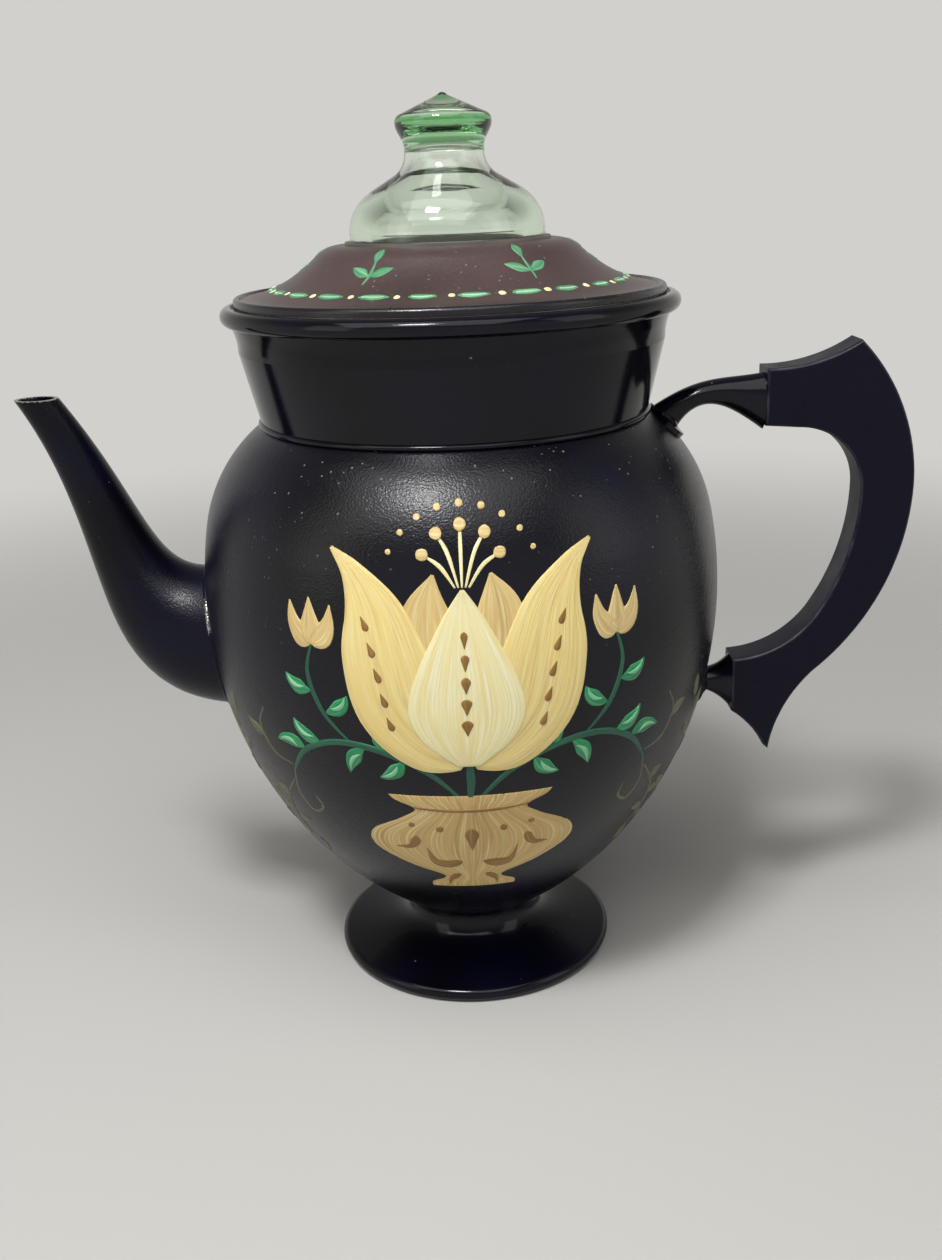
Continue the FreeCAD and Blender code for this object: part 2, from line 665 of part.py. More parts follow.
def lid_skirt():
    low = ledge_level - SKIRT_DEPTH
    outer = min(ledge_inner, neck_inner_radius(low)) - MOVING_GAP
    inner = outer - THIN_SHEET
    return spin(outline(
        (inner, low), (outer, low), (outer, ledge_level),
        (lid_edge - SEAM_GAP, ledge_level), (lid_edge - SEAM_GAP, lid_seat), (inner, lid_seat)))


def collar_hole():
    return spigot_radius + MOVING_GAP


def collar_outer():
    return spigot_radius + LUG + MOVING_GAP + COLLAR_SHEET


def lug_sector(radius, low, high, angle, middle_turn):
    """Wedge of a ring between the spigot's hollow and a radius."""
    start = middle_turn - angle / 2
    wedge = Part.makeCylinder(radius, high - low, FreeCAD.Vector(0, 0, low), Z_AXIS, angle)
    wedge.rotate(FreeCAD.Vector(), Z_AXIS, start)
    return wedge.cut(Part.makeCylinder(glass_bore, high - low, FreeCAD.Vector(0, 0, low)))


def glass_collar():
    tube = collar_outer() - COLLAR_SHEET
    depth = COLLAR_SHEET + SPIGOT_DEPTH
    lip_top = land_level - THIN_SHEET
    collar = spin(outline(
        (collar_hole(), glass_seat),
        (GLASS_BASE + COLLAR_FLANGE, glass_seat),
        (GLASS_BASE + COLLAR_FLANGE, land_level),
        (collar_outer(), land_level),
        (collar_outer(), lip_top),
        (collar_outer() + COLLAR_LIP, lip_top),
        (collar_outer() + COLLAR_LIP, lip_top - COLLAR_SHEET),
        (collar_outer(), lip_top - COLLAR_SHEET),
        (collar_outer(), land_level - depth),
        (tube, land_level - depth),
        (tube, land_level),
        (collar_hole(), land_level)))
    notch_angle = LUG_ANGLE + 2 * math.degrees(MOVING_GAP / spigot_radius)
    for turn in (90, 270):
        collar = collar.cut(lug_sector(tube, land_level, glass_seat, notch_angle, turn))
    return collar


def glass_top():
    dome = (GLASS_BASE - GLASS_DOME, glass_seat + GLASS_EDGE)
    reach = math.hypot(GLASS_DOME + GLASS_COVE, GLASS_SLOPE)
    across = GLASS_NECK + GLASS_COVE - dome[0]
    cove = (GLASS_NECK + GLASS_COVE, dome[1] + math.sqrt(reach ** 2 - across ** 2))
    hollow_dome, hollow_cove = GLASS_DOME - GLASS_WALL, GLASS_COVE + GLASS_NECK_WALL

    def slope_turn(dome_arc, cove_arc):
        """Degrees on the dome's arc where a straight slope leaves it and touches the neck's arc."""
        toward = math.atan2(cove[1] - dome[1], across)
        return math.degrees(toward - math.acos((dome_arc + cove_arc) / reach))

    turn, hollow_turn = slope_turn(GLASS_DOME, GLASS_COVE), slope_turn(hollow_dome, hollow_cove)
    neck_end = cove[1] + GLASS_NECK_HEIGHT
    flare_end = neck_end + FINIAL_FLARE
    girdle = flare_end + FINIAL_GIRDLE
    apex = girdle + FINIAL_CONE
    tip = (FINIAL_TIP, apex - FINIAL_TIP / 2)
    cone_share = FINIAL_ROUND / (FINIAL_RADIUS - FINIAL_TIP)
    cone_foot = (FINIAL_RADIUS - FINIAL_ROUND, girdle + cone_share * (tip[1] - girdle))
    hollow_neck = GLASS_NECK - GLASS_NECK_WALL
    ceiling = cove[1] + GLASS_CEILING
    spigot_low = glass_seat - SPIGOT_DEPTH
    glass = spin(outline(
        (GLASS_BASE, glass_seat),
        (GLASS_BASE, dome[1]),
        arc(dome, GLASS_DOME, 0, turn),
        on_circle(cove, GLASS_COVE, 180 + turn),
        arc(cove, GLASS_COVE, 180 + turn, 180),
        (GLASS_NECK, neck_end),
        curve((GLASS_NECK, neck_end + FINIAL_SWEEP), (FINIAL_RADIUS, flare_end - FINIAL_SWEEP),
              (FINIAL_RADIUS, flare_end)),
        curve((FINIAL_RADIUS, girdle), cone_foot),
        tip,
        curve((FINIAL_TIP / 2, apex), (0, apex)),
        (0, ceiling),
        curve((hollow_neck, ceiling), (hollow_neck, cove[1])),
        arc(cove, hollow_cove, 180, 180 + hollow_turn),
        on_circle(dome, hollow_dome, hollow_turn),
        arc(dome, hollow_dome, hollow_turn, 0),
        (glass_bore, spigot_low),
        (spigot_radius, spigot_low),
        (spigot_radius, glass_seat)))
    lug_top = land_level - MOVING_GAP
    for turn in (0, 180):
        glass = glass.fuse(lug_sector(spigot_radius + LUG, lug_top - LUG_HEIGHT, lug_top,
                                      LUG_ANGLE, turn))
    return glass.removeSplitter()


# Pump, basket and spreader

def pump_tube():
    tube = ring(TUBE_RADIUS - TUBE_WALL, TUBE_RADIUS, tube_foot, tube_top)
    slot = FreeCAD.Vector(0, 0, tube_foot)
    return tube.cut(rod(slot, Y_AXIS, TUBE_SLOT, -2 * TUBE_RADIUS, 2 * TUBE_RADIUS))


def pump_bell():
    inner = bell_radius - THIN_SHEET
    fit = TUBE_RADIUS + SEAM_GAP
    skirt, top = plate_top + BELL_SKIRT, plate_top + BELL_HEIGHT
    bell = spin(outline(
        (inner, plate_top),
        (bell_radius, plate_top),
        (bell_radius, skirt),
        (fit + THIN_SHEET, top),
        (fit + THIN_SHEET, top + BELL_COLLAR),
        (fit, top + BELL_COLLAR),
        (fit, top - THIN_SHEET),
        (inner, skirt - THIN_SHEET / 2)))
    rim = FreeCAD.Vector(0, 0, plate_top)
    for step in range(BELL_NOTCHES):
        out = FreeCAD.Rotation(Z_AXIS, 360 * step / BELL_NOTCHES).multVec(X_AXIS)
        bell = bell.cut(rod(rim, out, BELL_NOTCH, TUBE_RADIUS, bell_radius + BELL_NOTCH))
    return bell


def valve_seat():
    low = plate_top + SEAT_HEIGHT
    return ring(SEAT_HOLE, bell_radius - THIN_SHEET - SEAM_GAP, low, valve_seat_top)


def valve_disc():
    return ring(0, VALVE_RADIUS, valve_seat_top, valve_seat_top + THIN_SHEET)


def basket_stop():
    low = basket_level - STOP_HEIGHT
    return ring(TUBE_RADIUS + SEAM_GAP, TUBE_RADIUS + STOP_WIDTH, low, basket_level)


def sleeve_outside():
    return tube_hole + THIN_SHEET


def coffee_basket():
    floor = basket_level + THIN_SHEET
    inner = basket_radius - THIN_SHEET
    hole = sleeve_outside() + SEAM_GAP
    cup = spin(outline(
        (hole, basket_level),
        (basket_radius, basket_level),
        (basket_radius, spreader_level - THIN_SHEET),
        (basket_rim, spreader_level - THIN_SHEET),
        (basket_rim, spreader_level),
        (inner, spreader_level),
        (inner, floor),
        (hole, floor)))
    first = TUBE_RADIUS + STOP_WIDTH + 2 * BASKET_HOLE
    holes = ring_of_points(first, inner - 2 * BASKET_HOLE, BASKET_PITCH)
    return perforate(cup, holes, BASKET_HOLE, basket_level, floor)


def basket_sleeve():
    return ring(tube_hole, sleeve_outside(), basket_level, spreader_level)


def spreader():
    top = spreader_level + THIN_SHEET
    locator = basket_radius - THIN_SHEET - MOVING_GAP
    plate = spin(outline(
        (tube_hole, spreader_level),
        (locator - THIN_SHEET, spreader_level),
        (locator - THIN_SHEET, spreader_level - SPREADER_LOCATOR),
        (locator, spreader_level - SPREADER_LOCATOR),
        (locator, spreader_level),
        (basket_rim, spreader_level),
        (basket_rim, top + SPREADER_LIP),
        (basket_rim - THIN_SHEET, top + SPREADER_LIP),
        (basket_rim - THIN_SHEET, top),
        (tube_hole, top)))
    holes = ring_of_points(sleeve_outside() + 3 * SPREADER_HOLE,
                           locator - THIN_SHEET - 2 * SPREADER_HOLE, SPREADER_PITCH)
    return perforate(plate, holes, SPREADER_HOLE, spreader_level, top)


PIECES = {
    "body_shell": body_shell,
    "neck_collar": neck_collar,
    "foot": foot,
    "base_plate": base_plate,
    "spout": spout,
    "upper_bracket": upper_bracket,
    "lower_bracket": lower_bracket,
    "upper_rivets": upper_pad.rivets,
    "lower_rivets": lower_pad.rivets,
    "handle_grip": handle_grip,
    "upper_pin": lambda: pin(arm_end, UPPER_TANG * PIN_SHARE),
    "lower_pin": lambda: pin(grip_lower, LOWER_TANG * PIN_SHARE),
    "lid_shell": lid_shell,
    "lid_skirt": lid_skirt,
    "glass_collar": glass_collar,
    "glass_top": glass_top,
    "pump_tube": pump_tube,
    "pump_bell": pump_bell,
    "valve_seat": valve_seat,
    "valve_disc": valve_disc,
    "basket_stop": basket_stop,
    "coffee_basket": coffee_basket,
    "basket_sleeve": basket_sleeve,
    "spreader": spreader,
}

os.makedirs("parts", exist_ok=True)
for name, make in PIECES.items():
    make().exportStep("parts/" + name + ".step")
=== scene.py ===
"""Finish of a stove-top coffee percolator: black enamel, green glass, bare metal and a folk painting."""

import math
import random
from collections import namedtuple

import bmesh
import bpy
from bpy.props import FloatProperty, FloatVectorProperty, IntProperty, PointerProperty
from mathutils import Matrix, Vector
from mathutils.bvhtree import BVHTree


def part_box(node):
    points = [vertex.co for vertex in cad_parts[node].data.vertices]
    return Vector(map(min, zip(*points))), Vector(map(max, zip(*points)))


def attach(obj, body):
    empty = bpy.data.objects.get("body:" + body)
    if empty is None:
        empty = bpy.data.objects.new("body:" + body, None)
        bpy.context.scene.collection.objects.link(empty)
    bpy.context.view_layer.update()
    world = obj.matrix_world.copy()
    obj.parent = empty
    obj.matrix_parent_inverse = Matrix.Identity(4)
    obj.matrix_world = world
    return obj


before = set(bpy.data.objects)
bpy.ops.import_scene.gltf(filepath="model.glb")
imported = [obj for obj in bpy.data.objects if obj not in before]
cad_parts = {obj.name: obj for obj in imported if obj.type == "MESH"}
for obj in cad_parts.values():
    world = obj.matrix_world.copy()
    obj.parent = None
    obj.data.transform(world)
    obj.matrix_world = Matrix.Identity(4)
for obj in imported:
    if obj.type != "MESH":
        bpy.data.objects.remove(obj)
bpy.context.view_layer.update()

bl_info = {
    "name": "Painted coffee percolator",
    "version": (1, 0, 0),
    "blender": (4, 5, 0),
    "location": "3D View > Sidebar > Percolator",
    "description": "Gives a coffee percolator its enamel, glass, metal and painted flowers",
    "category": "Object",
}

MM = 0.001

# Marks in the enamel. Those that are too fine to show are drawn coarser.
TOOTH = 1.8 * MM              # relief at a roughness of 1, falling with its square
BRUSH_RELIEF = 0.2            # share of the brush lines in the relief, beside the grit
PATCH = 45 * MM               # where the paint lies thicker or thinner
BRUSH_LENGTH = 14 * MM
BRUSH_WIDTH = 0.9 * MM        # about three times as coarse as it is
GRIT = 0.6 * MM               # about four times as coarse as it is
DUST_SPACING = 2.0 * MM
DUST_SIZE = 0.42 * MM         # about twice as coarse as it is
DRIFT = 20 * MM               # where dust gathers
DRIFT_LEAST = 0.1             # share of the dust that lies outside the drifts
NICK_SPACING = 10 * MM
NICK_SIZE = 0.55 * MM
NICK_SHARE = 0.7
SPECK_LEAST = 0.3             # smallest speck, as a share of the largest
SPECK_RAGGED = 1.4            # how far a speck's edge strays, in its own sizes

# Where the enamel is worn, covered or left off
LIP_WEAR = (-1.6 * MM, 0.4 * MM)     # from the first bare patches to wholly bare, about the lip
SEAM_WEAR_RISE = 11 * MM             # of the bare line over the middle of the spout's root
SEAM_WEAR_REACH = 8 * MM
SEAM_FRONT = (-12 * MM, -16 * MM)    # from where the line starts to where it is whole, along y
FILM_SHARE = 0.89                    # of the lid's radius that the film covers
FILM_FADE = 5 * MM
RIM_PAINT = 3 * MM                   # enamel that reaches down inside the rim

# Spout's root
SEAM_STEPS = 96               # points round it
SEAM_SEARCH = 45 * MM         # further from its middle than any of its edge
SEAM_TOUCH = 0.5 * MM
BEAD_SIDES = 10

# Strokes of paint, in mm apart from shares
PAINT_SINK = 0.06             # that paint reaches under the surface it lies on
LEAST_WIDTH = 0.06            # half width of a stroke's thinnest end
FULL_WIDTH = 1.2              # half width from which paint lies at its full thickness
WOBBLE = 0.06                 # share by which a hand varies a stroke's width
WOBBLE_PACE = 9               # radians of that along a stroke
ANY_PHASE = 6.28              # radians
ANY_GRAIN = 40                # range of places in the paint's grain that a stroke starts from
END_RISE = 6                  # how fast a stroke's end rises to full thickness
END_EDGE = 0.15               # share of the thickness at the very end
SLOPE_STEP = 0.01             # share of a stroke over which its direction is taken
RAY_START = 0.4               # metres, outside every piece
BRUSH_UV = "Brush"            # along the stroke and across it, in metres
SIDE_TURN = math.radians(62)  # from the front of the pot to its side sprays

# Share of the way along a kind of stroke, and of its full width there
COMMA_SHAPE = ((0.0, 0.12), (0.08, 0.72), (0.28, 1.0), (0.6, 0.62), (1.0, 0.06))
LEAF_SHAPE = ((0.0, 0.1), (0.2, 0.68), (0.45, 1.0), (0.75, 0.7), (1.0, 0.06))
DOT_SHAPE = ((-1.0, 0.15), (-0.75, 0.68), (0.0, 1.0), (0.75, 0.68), (1.0, 0.15))

# Stage, in metres and degrees
FLOOR_HALF = 6.0
FLOOR_GAP = 0.2 * MM          # under the foot, so that no two faces share a place
FLOOR_FADE = (0.3, 0.9)       # from the pot, where the floor turns to the backdrop's colour
WORLD_LIGHT = 0.13            # strength of the surroundings as a light on the pot
OVERHEAD_SHARE = 0.35         # brightness of the surroundings overhead, as seen
LAMP_TARGET = (0, 0, 0.13)
CAMERA_PLACE = (0.0, -0.4002, 0.2467)
CAMERA_PAN, CAMERA_PITCH, CAMERA_ROLL = 0.3374, 18.96, -2.2236
CAMERA_NEAR = 0.01
SENSOR = 36.0                 # mm

# Roughness from the shiniest to the dullest patch, specular level and share of dust.
Finish = namedtuple("Finish", "roughness specular dust")
SATIN = Finish((0.235, 0.31), 0.3, 0.7)
GLOSS = Finish((0.09, 0.15), 0.25, 0.08)
FILMED = Finish((0.18, 0.26), 0.45, 0.9)
SPOUT = Finish((0.22, 0.3), 0.18, 0.15)
SOLDER = Finish((0.24, 0.34), 0.15, 0.15)

# What covers an enamel, or shows where it has gone: a mask made by a function, and a finish.
Layer = namedtuple("Layer", "mask colour metal roughness")

# Main tone of each paint, the two tones pulled through it and how strongly they show.
Paint = namedtuple("Paint", "name main streak light strength")
OCHRE = Paint("Brushed ochre acrylic", "ochre", "tan", "pale", 0.75)
WARM = Paint("Brushed warm ochre acrylic", "warm", "tan", "pale", 0.6)
BROWN = Paint("Brushed brown acrylic", "brown", "umber", "ochre", 0.4)
CREAM = Paint("Brushed cream acrylic", "cream", "ochre", "pale", 0.75)
IVORY = Paint("Brushed ivory acrylic", "pale", "cream", "ivory", 0.7)
VINE = Paint("Brushed dark green acrylic", "vine", "vine_dark", "leaf", 0.4)
LEAF_GREEN = Paint("Brushed leaf green acrylic", "leaf", "vine", "leaf_light", 0.55)
LEAF_LIGHT = Paint("Brushed light green acrylic", "leaf_light", "leaf", "leaf_pale", 0.5)
OLIVE = Paint("Brushed olive acrylic", "olive", "olive_dark", "olive_light", 0.5)
MINT = Paint("Brushed mint acrylic", "mint", "leaf", "mint_light", 0.6)
MINT_LIGHT = Paint("Brushed light mint acrylic", "mint_light", "mint", "mint_pale", 0.5)
BORDER_IVORY = Paint("Brushed border ivory acrylic", "pale", "cream", "ivory", 0.5)

FACTOR, COLOUR_A, COLOUR_B, COLOUR_OUT = 0, 6, 7, 2      # sockets of a colour mix
VALUE, FROM_LOW, FROM_HIGH, TO_LOW, TO_HIGH = range(5)   # sockets of a map range
NOISE_LOW, NOISE_HIGH = 0.3, 0.7                         # nearly all that a noise texture gives
LEVEL = (1.0, 1.0, 0.0)                                  # what is left of a place without its height


def linear(code):
    """Linear RGBA of an sRGB hex colour."""
    channels = [int(code[place:place + 2], 16) / 255 for place in (1, 3, 5)]
    return tuple(c / 12.92 if c <= 0.04045 else ((c + 0.055) / 1.055) ** 2.4 for c in channels) + (1.0,)


def colour_property(name, description, code):
    return FloatVectorProperty(name=name, description=description, default=linear(code),
                               subtype="COLOR", size=4, min=0.0, max=1.0)


def length_property(name, description, millimetres):
    return FloatProperty(name=name, description=description, default=millimetres * MM,
                         min=0.0, subtype="DISTANCE", unit="LENGTH")


def power_property(name, description, watts):
    return FloatProperty(name=name, description=description, default=watts, min=0.0, unit="POWER")


class EnamelSettings(bpy.types.PropertyGroup):
    pot: colour_property("Pot", "Black enamel of the pot, spout and foot", "#060508")
    # Painted reflection: the navy cast stands in for blue light reflected by the black paint, in random
    # patches.
    cast: colour_property("Cast", "Navy cast where the enamel is thicker", "#0a0a1c")
    film: colour_property("Film", "Dull brown film of dust on the lid", "#503f3d")
    grip: colour_property("Grip", "Painted wood of the grip", "#0a091a")
    # Partly painted highlight: the grey of the grip's rounded edges stands for rubbed paint and for light
    # along them.
    rubbed_and_highlit: colour_property("Rubbed edge", "Edges of the grip that hands have rubbed", "#5c5b63")
    dust: colour_property("Dust", "Specks of dust and worn paint", "#7d746d")
    worn: colour_property("Worn metal", "Plating that shows where enamel has worn off", "#b9b7b2")
    bead: length_property("Solder bead", "Thickness of the bead round the root of the spout", 1.7)
    metal: colour_property("Inside metal", "Bare metal of the pot's inside, pump and basket", "#c6c5c1")
    stain: colour_property("Stain", "Stains on the aluminium", "#8d887e")
    tarnish: colour_property("Tarnish", "Old dull aluminium", "#7f7a70")


class GlassSettings(bpy.types.PropertyGroup):
    tint: colour_property("Tint", "Colour that thick glass takes", "#b6f0ac")
    density: FloatProperty(name="Density", description="How fast the tint deepens with thickness",
                           default=19.0, min=0.0)
    core: colour_property("Core", "Deep green of the solid finial", "#6fbf78")
    clear: colour_property("Clear", "Glass with no depth to it", "#fbfffb")
    point: length_property("Point", "Height of the finial's clear cone", 6.4)
    solid: length_property("Solid", "Height of the finial over the hollow", 13.0)
    roughness: FloatProperty(name="Roughness", description="Roughness of the pressed surface",
                             default=0.03, min=0.0, max=1.0, subtype="FACTOR")


class PaintingSettings(bpy.types.PropertyGroup):
    cream: colour_property("Cream", "Main paint of the flower", "#ecd488")
    pale: colour_property("Pale", "Pale streaks in the cream", "#f0e6ac")
    ivory: colour_property("Ivory", "Lightest streaks in the pale paint", "#fbf8e6")
    ochre: colour_property("Ochre", "Paint of the urn", "#cdab6c")
    warm: colour_property("Warm ochre", "Paint of the buds, stamen dots and back petals", "#d8bb7d")
    tan: colour_property("Tan", "Darker streaks in the ochre", "#a9854a")
    brown: colour_property("Brown", "Small strokes on the urn and flower", "#8c662a")
    umber: colour_property("Umber", "Darker streaks in the brown", "#6b4a1c")
    leaf: colour_property("Leaf", "Bright leaves", "#1e8a54")
    leaf_light: colour_property("Leaf light", "Light side of a leaf", "#7cc694")
    leaf_pale: colour_property("Leaf pale", "Palest streaks in a leaf's light side", "#d9efd9")
    vine: colour_property("Vine", "Dark green stems", "#17523d")
    vine_dark: colour_property("Vine dark", "Darker streaks in the stems", "#0f3b2c")
    olive: colour_property("Olive", "Muted tendrils and side leaves", "#5a5c42")
    olive_dark: colour_property("Olive dark", "Darker streaks in the olive", "#3b3d2c")
    olive_light: colour_property("Olive light", "Lighter streaks in the olive", "#8b8a6a")
    mint: colour_property("Mint", "Green of the lid's border and sprigs", "#4b8c63")
    mint_light: colour_property("Mint light", "Light side of the border's dashes", "#9fd2a8")
    mint_pale: colour_property("Mint pale", "Palest streaks in the light mint", "#e6f5e4")
    thickness: length_property("Thickness", "Height of a stroke of paint", 0.28)
    border_radius: length_property("Border radius", "Circle of dashes on the lid", 52.0)
    border_count: IntProperty(name="Border count", description="Dashes round the lid", default=24, min=3)
    sprig_count: IntProperty(name="Sprig count", description="Sprigs round the lid", default=6, min=1)
    dash_length: length_property("Dash length", "Length of a dash on the lid", 8.6)
    dash_width: length_property("Dash width", "Width of a dash on the lid", 2.7)
    dot_size: length_property("Dot size", "Diameter of a dot on the lid", 2.0)


class StageSettings(bpy.types.PropertyGroup):
    floor: colour_property("Floor", "Pale floor", "#c4c2be")
    backdrop: colour_property("Backdrop", "Pale surroundings", "#d2d0cc")
    overhead_power: power_property("Overhead light", "Power of the large softbox overhead", 10.8)
    key_power: power_property("Key light", "Power of the lamp over the camera", 8.8)
    side_power: power_property("Side lights", "Power of each side softbox", 1.4)
    lens: FloatProperty(name="Lens", description="Focal length", default=37.5, min=1.0, unit="CAMERA")


# Materials

def add(tree, kind, inputs=None, out=0, **settings):
    """Adds a shader node with its options and inputs; gives an output, or the node if out is None."""
    made = tree.nodes.new("ShaderNode" + kind)
    for name, value in settings.items():
        setattr(made, name, value)
    for socket, value in (inputs or {}).items():
        if isinstance(value, bpy.types.NodeSocket):
            tree.links.new(value, made.inputs[socket])
        else:
            made.inputs[socket].default_value = value
    return made if out is None else made.outputs[out]


def new_material(name):
    material = bpy.data.materials.new(name)
    material.use_nodes = True
    material.node_tree.nodes.clear()
    return material, material.node_tree


def show(tree, surface, **more):
    """Ends a material with its surface, and with a volume if there is one."""
    add(tree, "OutputMaterial", {"Surface": surface, **more}, None)


def specks(tree, here, spacing, size, share):
    """Mask of ragged specks of up to a size, one to a cell of a random net, gathered in drifts."""
    ragged = add(tree, "TexNoise", {"Vector": here, "Scale": 1 / size, "Detail": 2.0}, "Color")
    bent = add(tree, "VectorMath", {0: ragged, 1: (SPECK_RAGGED * size,) * 3, 2: here},
               operation="MULTIPLY_ADD")
    cells = add(tree, "TexVoronoi", {"Vector": bent, "Scale": 1 / spacing}, None).outputs
    draw = add(tree, "SeparateColor", {0: cells["Color"]}, None).outputs
    reach = add(tree, "MapRange", {
        VALUE: draw["Green"], TO_LOW: SPECK_LEAST * size / spacing, TO_HIGH: size / spacing})
    spot = add(tree, "MapRange", {VALUE: cells["Distance"], FROM_HIGH: reach, TO_LOW: 2.0, TO_HIGH: 0.0})
    clouds = add(tree, "TexNoise", {"Vector": here, "Scale": 1 / DRIFT, "Detail": 2.0})
    drift = add(tree, "MapRange", {
        VALUE: clouds, FROM_LOW: 0.42, FROM_HIGH: 0.62, TO_LOW: DRIFT_LEAST * share, TO_HIGH: share})
    chosen = add(tree, "Math", {0: draw["Red"], 1: drift}, operation="LESS_THAN")
    return add(tree, "Math", {0: spot, 1: chosen}, operation="MULTIPLY", use_clamp=True)


def enamel(name, settings, finish, layer=None):
    """Enamel brushed over plated sheet metal.

    It is near black with a navy cast in large soft patches, which is a painted reflection of blue light.
    It has a sheen that changes from patch to patch, a fine grain and faint brush lines round the pot, a
    few pale nicks, and specks of dust on the faces that look up.
    """
    material, tree = new_material(name)
    here = add(tree, "TexCoord", out="Object")
    patches = add(tree, "TexNoise", {"Vector": here, "Scale": 1 / PATCH, "Detail": 3.0})
    round_pot = add(tree, "Mapping", {
        "Vector": here, "Scale": (1 / BRUSH_LENGTH, 1 / BRUSH_LENGTH, 1 / BRUSH_WIDTH)})
    brush = add(tree, "TexNoise", {"Vector": round_pot, "Scale": 1.0, "Detail": 2.0})
    grit = add(tree, "TexNoise", {"Vector": here, "Scale": 1 / GRIT, "Detail": 1.0})
    normal = add(tree, "NewGeometry", out="Normal")
    up = add(tree, "SeparateXYZ", {0: normal}, "Z")
    facing = add(tree, "MapRange", {
        VALUE: up, FROM_LOW: -0.1, FROM_HIGH: 0.8, TO_LOW: 0.05, TO_HIGH: 1.0})
    dust = specks(tree, here, DUST_SPACING, DUST_SIZE, finish.dust)
    dust = add(tree, "Math", {0: dust, 1: facing}, operation="MULTIPLY")
    nicks = specks(tree, here, NICK_SPACING, NICK_SIZE, NICK_SHARE)
    marks = add(tree, "Math", {0: dust, 1: nicks}, operation="MAXIMUM")
    # Painted reflection: navy patches of the cast stand in for blue light reflected by the enamel.
    spread = add(tree, "MapRange", {VALUE: patches, FROM_LOW: 0.35, FROM_HIGH: 0.65})
    paint = add(tree, "Mix", {
        FACTOR: spread, COLOUR_A: settings.pot, COLOUR_B: settings.cast}, COLOUR_OUT, data_type="RGBA")
    shiny, dull = finish.roughness
    sheen = add(tree, "MapRange", {
        VALUE: patches, FROM_LOW: NOISE_LOW, FROM_HIGH: NOISE_HIGH, TO_LOW: shiny, TO_HIGH: dull})
    shader = {"Specular IOR Level": finish.specular}
    if layer:
        cover = layer.mask(tree, here, patches, grit)
        paint = add(tree, "Mix", {
            FACTOR: cover, COLOUR_A: paint, COLOUR_B: layer.colour}, COLOUR_OUT, data_type="RGBA")
        sheen = add(tree, "Mix", {0: cover, 2: sheen, 3: layer.roughness})
        if layer.metal:
            shader["Metallic"] = cover
    shader["Base Color"] = add(tree, "Mix", {
        FACTOR: marks, COLOUR_A: paint, COLOUR_B: settings.dust}, COLOUR_OUT, data_type="RGBA")
    shader["Roughness"] = add(tree, "Math", {0: sheen, 1: marks}, operation="MAXIMUM")
    relief = add(tree, "Math", {0: brush, 1: BRUSH_RELIEF, 2: grit}, operation="MULTIPLY_ADD")
    shader["Normal"] = add(tree, "Bump", {"Distance": TOOTH * shiny ** 2, "Height": relief})
    show(tree, add(tree, "BsdfPrincipled", shader))
    return material


def lip_wear(lip):
    """Mask that bares the metal in patches under a lip, and wholly above it."""
    low, high = (lip + shift for shift in LIP_WEAR)

    def mask(tree, here, patches, grit):
        level = add(tree, "SeparateXYZ", {0: here}, "Z")
        reach = add(tree, "MapRange", {VALUE: level, FROM_LOW: low, FROM_HIGH: high})
        broken = add(tree, "Math", {0: grit, 1: 0.55, 2: reach}, operation="MULTIPLY_ADD")
        return add(tree, "MapRange", {VALUE: broken, FROM_LOW: 0.95, FROM_HIGH: 1.15})

    return mask


def seam_wear(middle):
    """Mask that bares the metal in a broken line on the front of the seam, about a level."""
    start, whole = SEAM_FRONT

    def mask(tree, here, patches, grit):
        place = add(tree, "SeparateXYZ", {0: here}, None).outputs
        front = add(tree, "MapRange", {VALUE: place["Y"], FROM_LOW: start, FROM_HIGH: whole})
        off = add(tree, "Math", {0: place["Z"], 1: middle}, operation="SUBTRACT")
        off = add(tree, "Math", {0: off}, operation="ABSOLUTE")
        near = add(tree, "MapRange", {
            VALUE: off, FROM_LOW: 0.4 * SEAM_WEAR_REACH, FROM_HIGH: SEAM_WEAR_REACH,
            TO_LOW: 1.0, TO_HIGH: 0.0})
        near = add(tree, "Math", {0: near, 1: front}, operation="MULTIPLY")
        broken = add(tree, "Math", {0: grit, 1: near}, operation="MULTIPLY")
        return add(tree, "MapRange", {VALUE: broken, FROM_LOW: 0.38, FROM_HIGH: 0.56})

    return mask


def bare_inside(rim):
    """Mask of the faces that look at the axis, below the enamel that reaches down inside the rim."""
    def mask(tree, here, patches, grit):
        normal = add(tree, "NewGeometry", out="Normal")
        flat = add(tree, "VectorMath", {0: here, 1: LEVEL}, operation="MULTIPLY")
        outward = add(tree, "VectorMath", {0: flat}, operation="NORMALIZE")
        facing = add(tree, "VectorMath", {0: normal, 1: outward}, "Value", operation="DOT_PRODUCT")
        inner = add(tree, "MapRange", {
            VALUE: facing, FROM_LOW: -0.12, FROM_HIGH: -0.04, TO_LOW: 1.0, TO_HIGH: 0.0})
        level = add(tree, "SeparateXYZ", {0: here}, "Z")
        ragged = add(tree, "Math", {0: patches, 1: 4 * MM, 2: level}, operation="MULTIPLY_ADD")
        below = add(tree, "Math", {0: ragged, 1: rim - RIM_PAINT}, operation="LESS_THAN")
        return add(tree, "Math", {0: inner, 1: below}, operation="MULTIPLY")

    return mask


def film_inside(radius):
    """Mask of a dull grainy film within a radius of the axis, thinner in patches."""
    def mask(tree, here, patches, grit):
        flat = add(tree, "VectorMath", {0: here, 1: LEVEL}, operation="MULTIPLY")
        far = add(tree, "VectorMath", {0: flat}, "Value", operation="LENGTH")
        inside = add(tree, "MapRange", {
            VALUE: far, FROM_LOW: radius, FROM_HIGH: radius + FILM_FADE, TO_LOW: 1.0, TO_HIGH: 0.1})
        thin = add(tree, "Math", {0: grit, 1: 0.5, 2: patches}, operation="MULTIPLY_ADD")
        thin = add(tree, "MapRange", {
            VALUE: thin, FROM_LOW: 0.5, FROM_HIGH: 1.0, TO_LOW: 0.5, TO_HIGH: 1.0})
        return add(tree, "Math", {0: inside, 1: thin}, operation="MULTIPLY")

    return mask


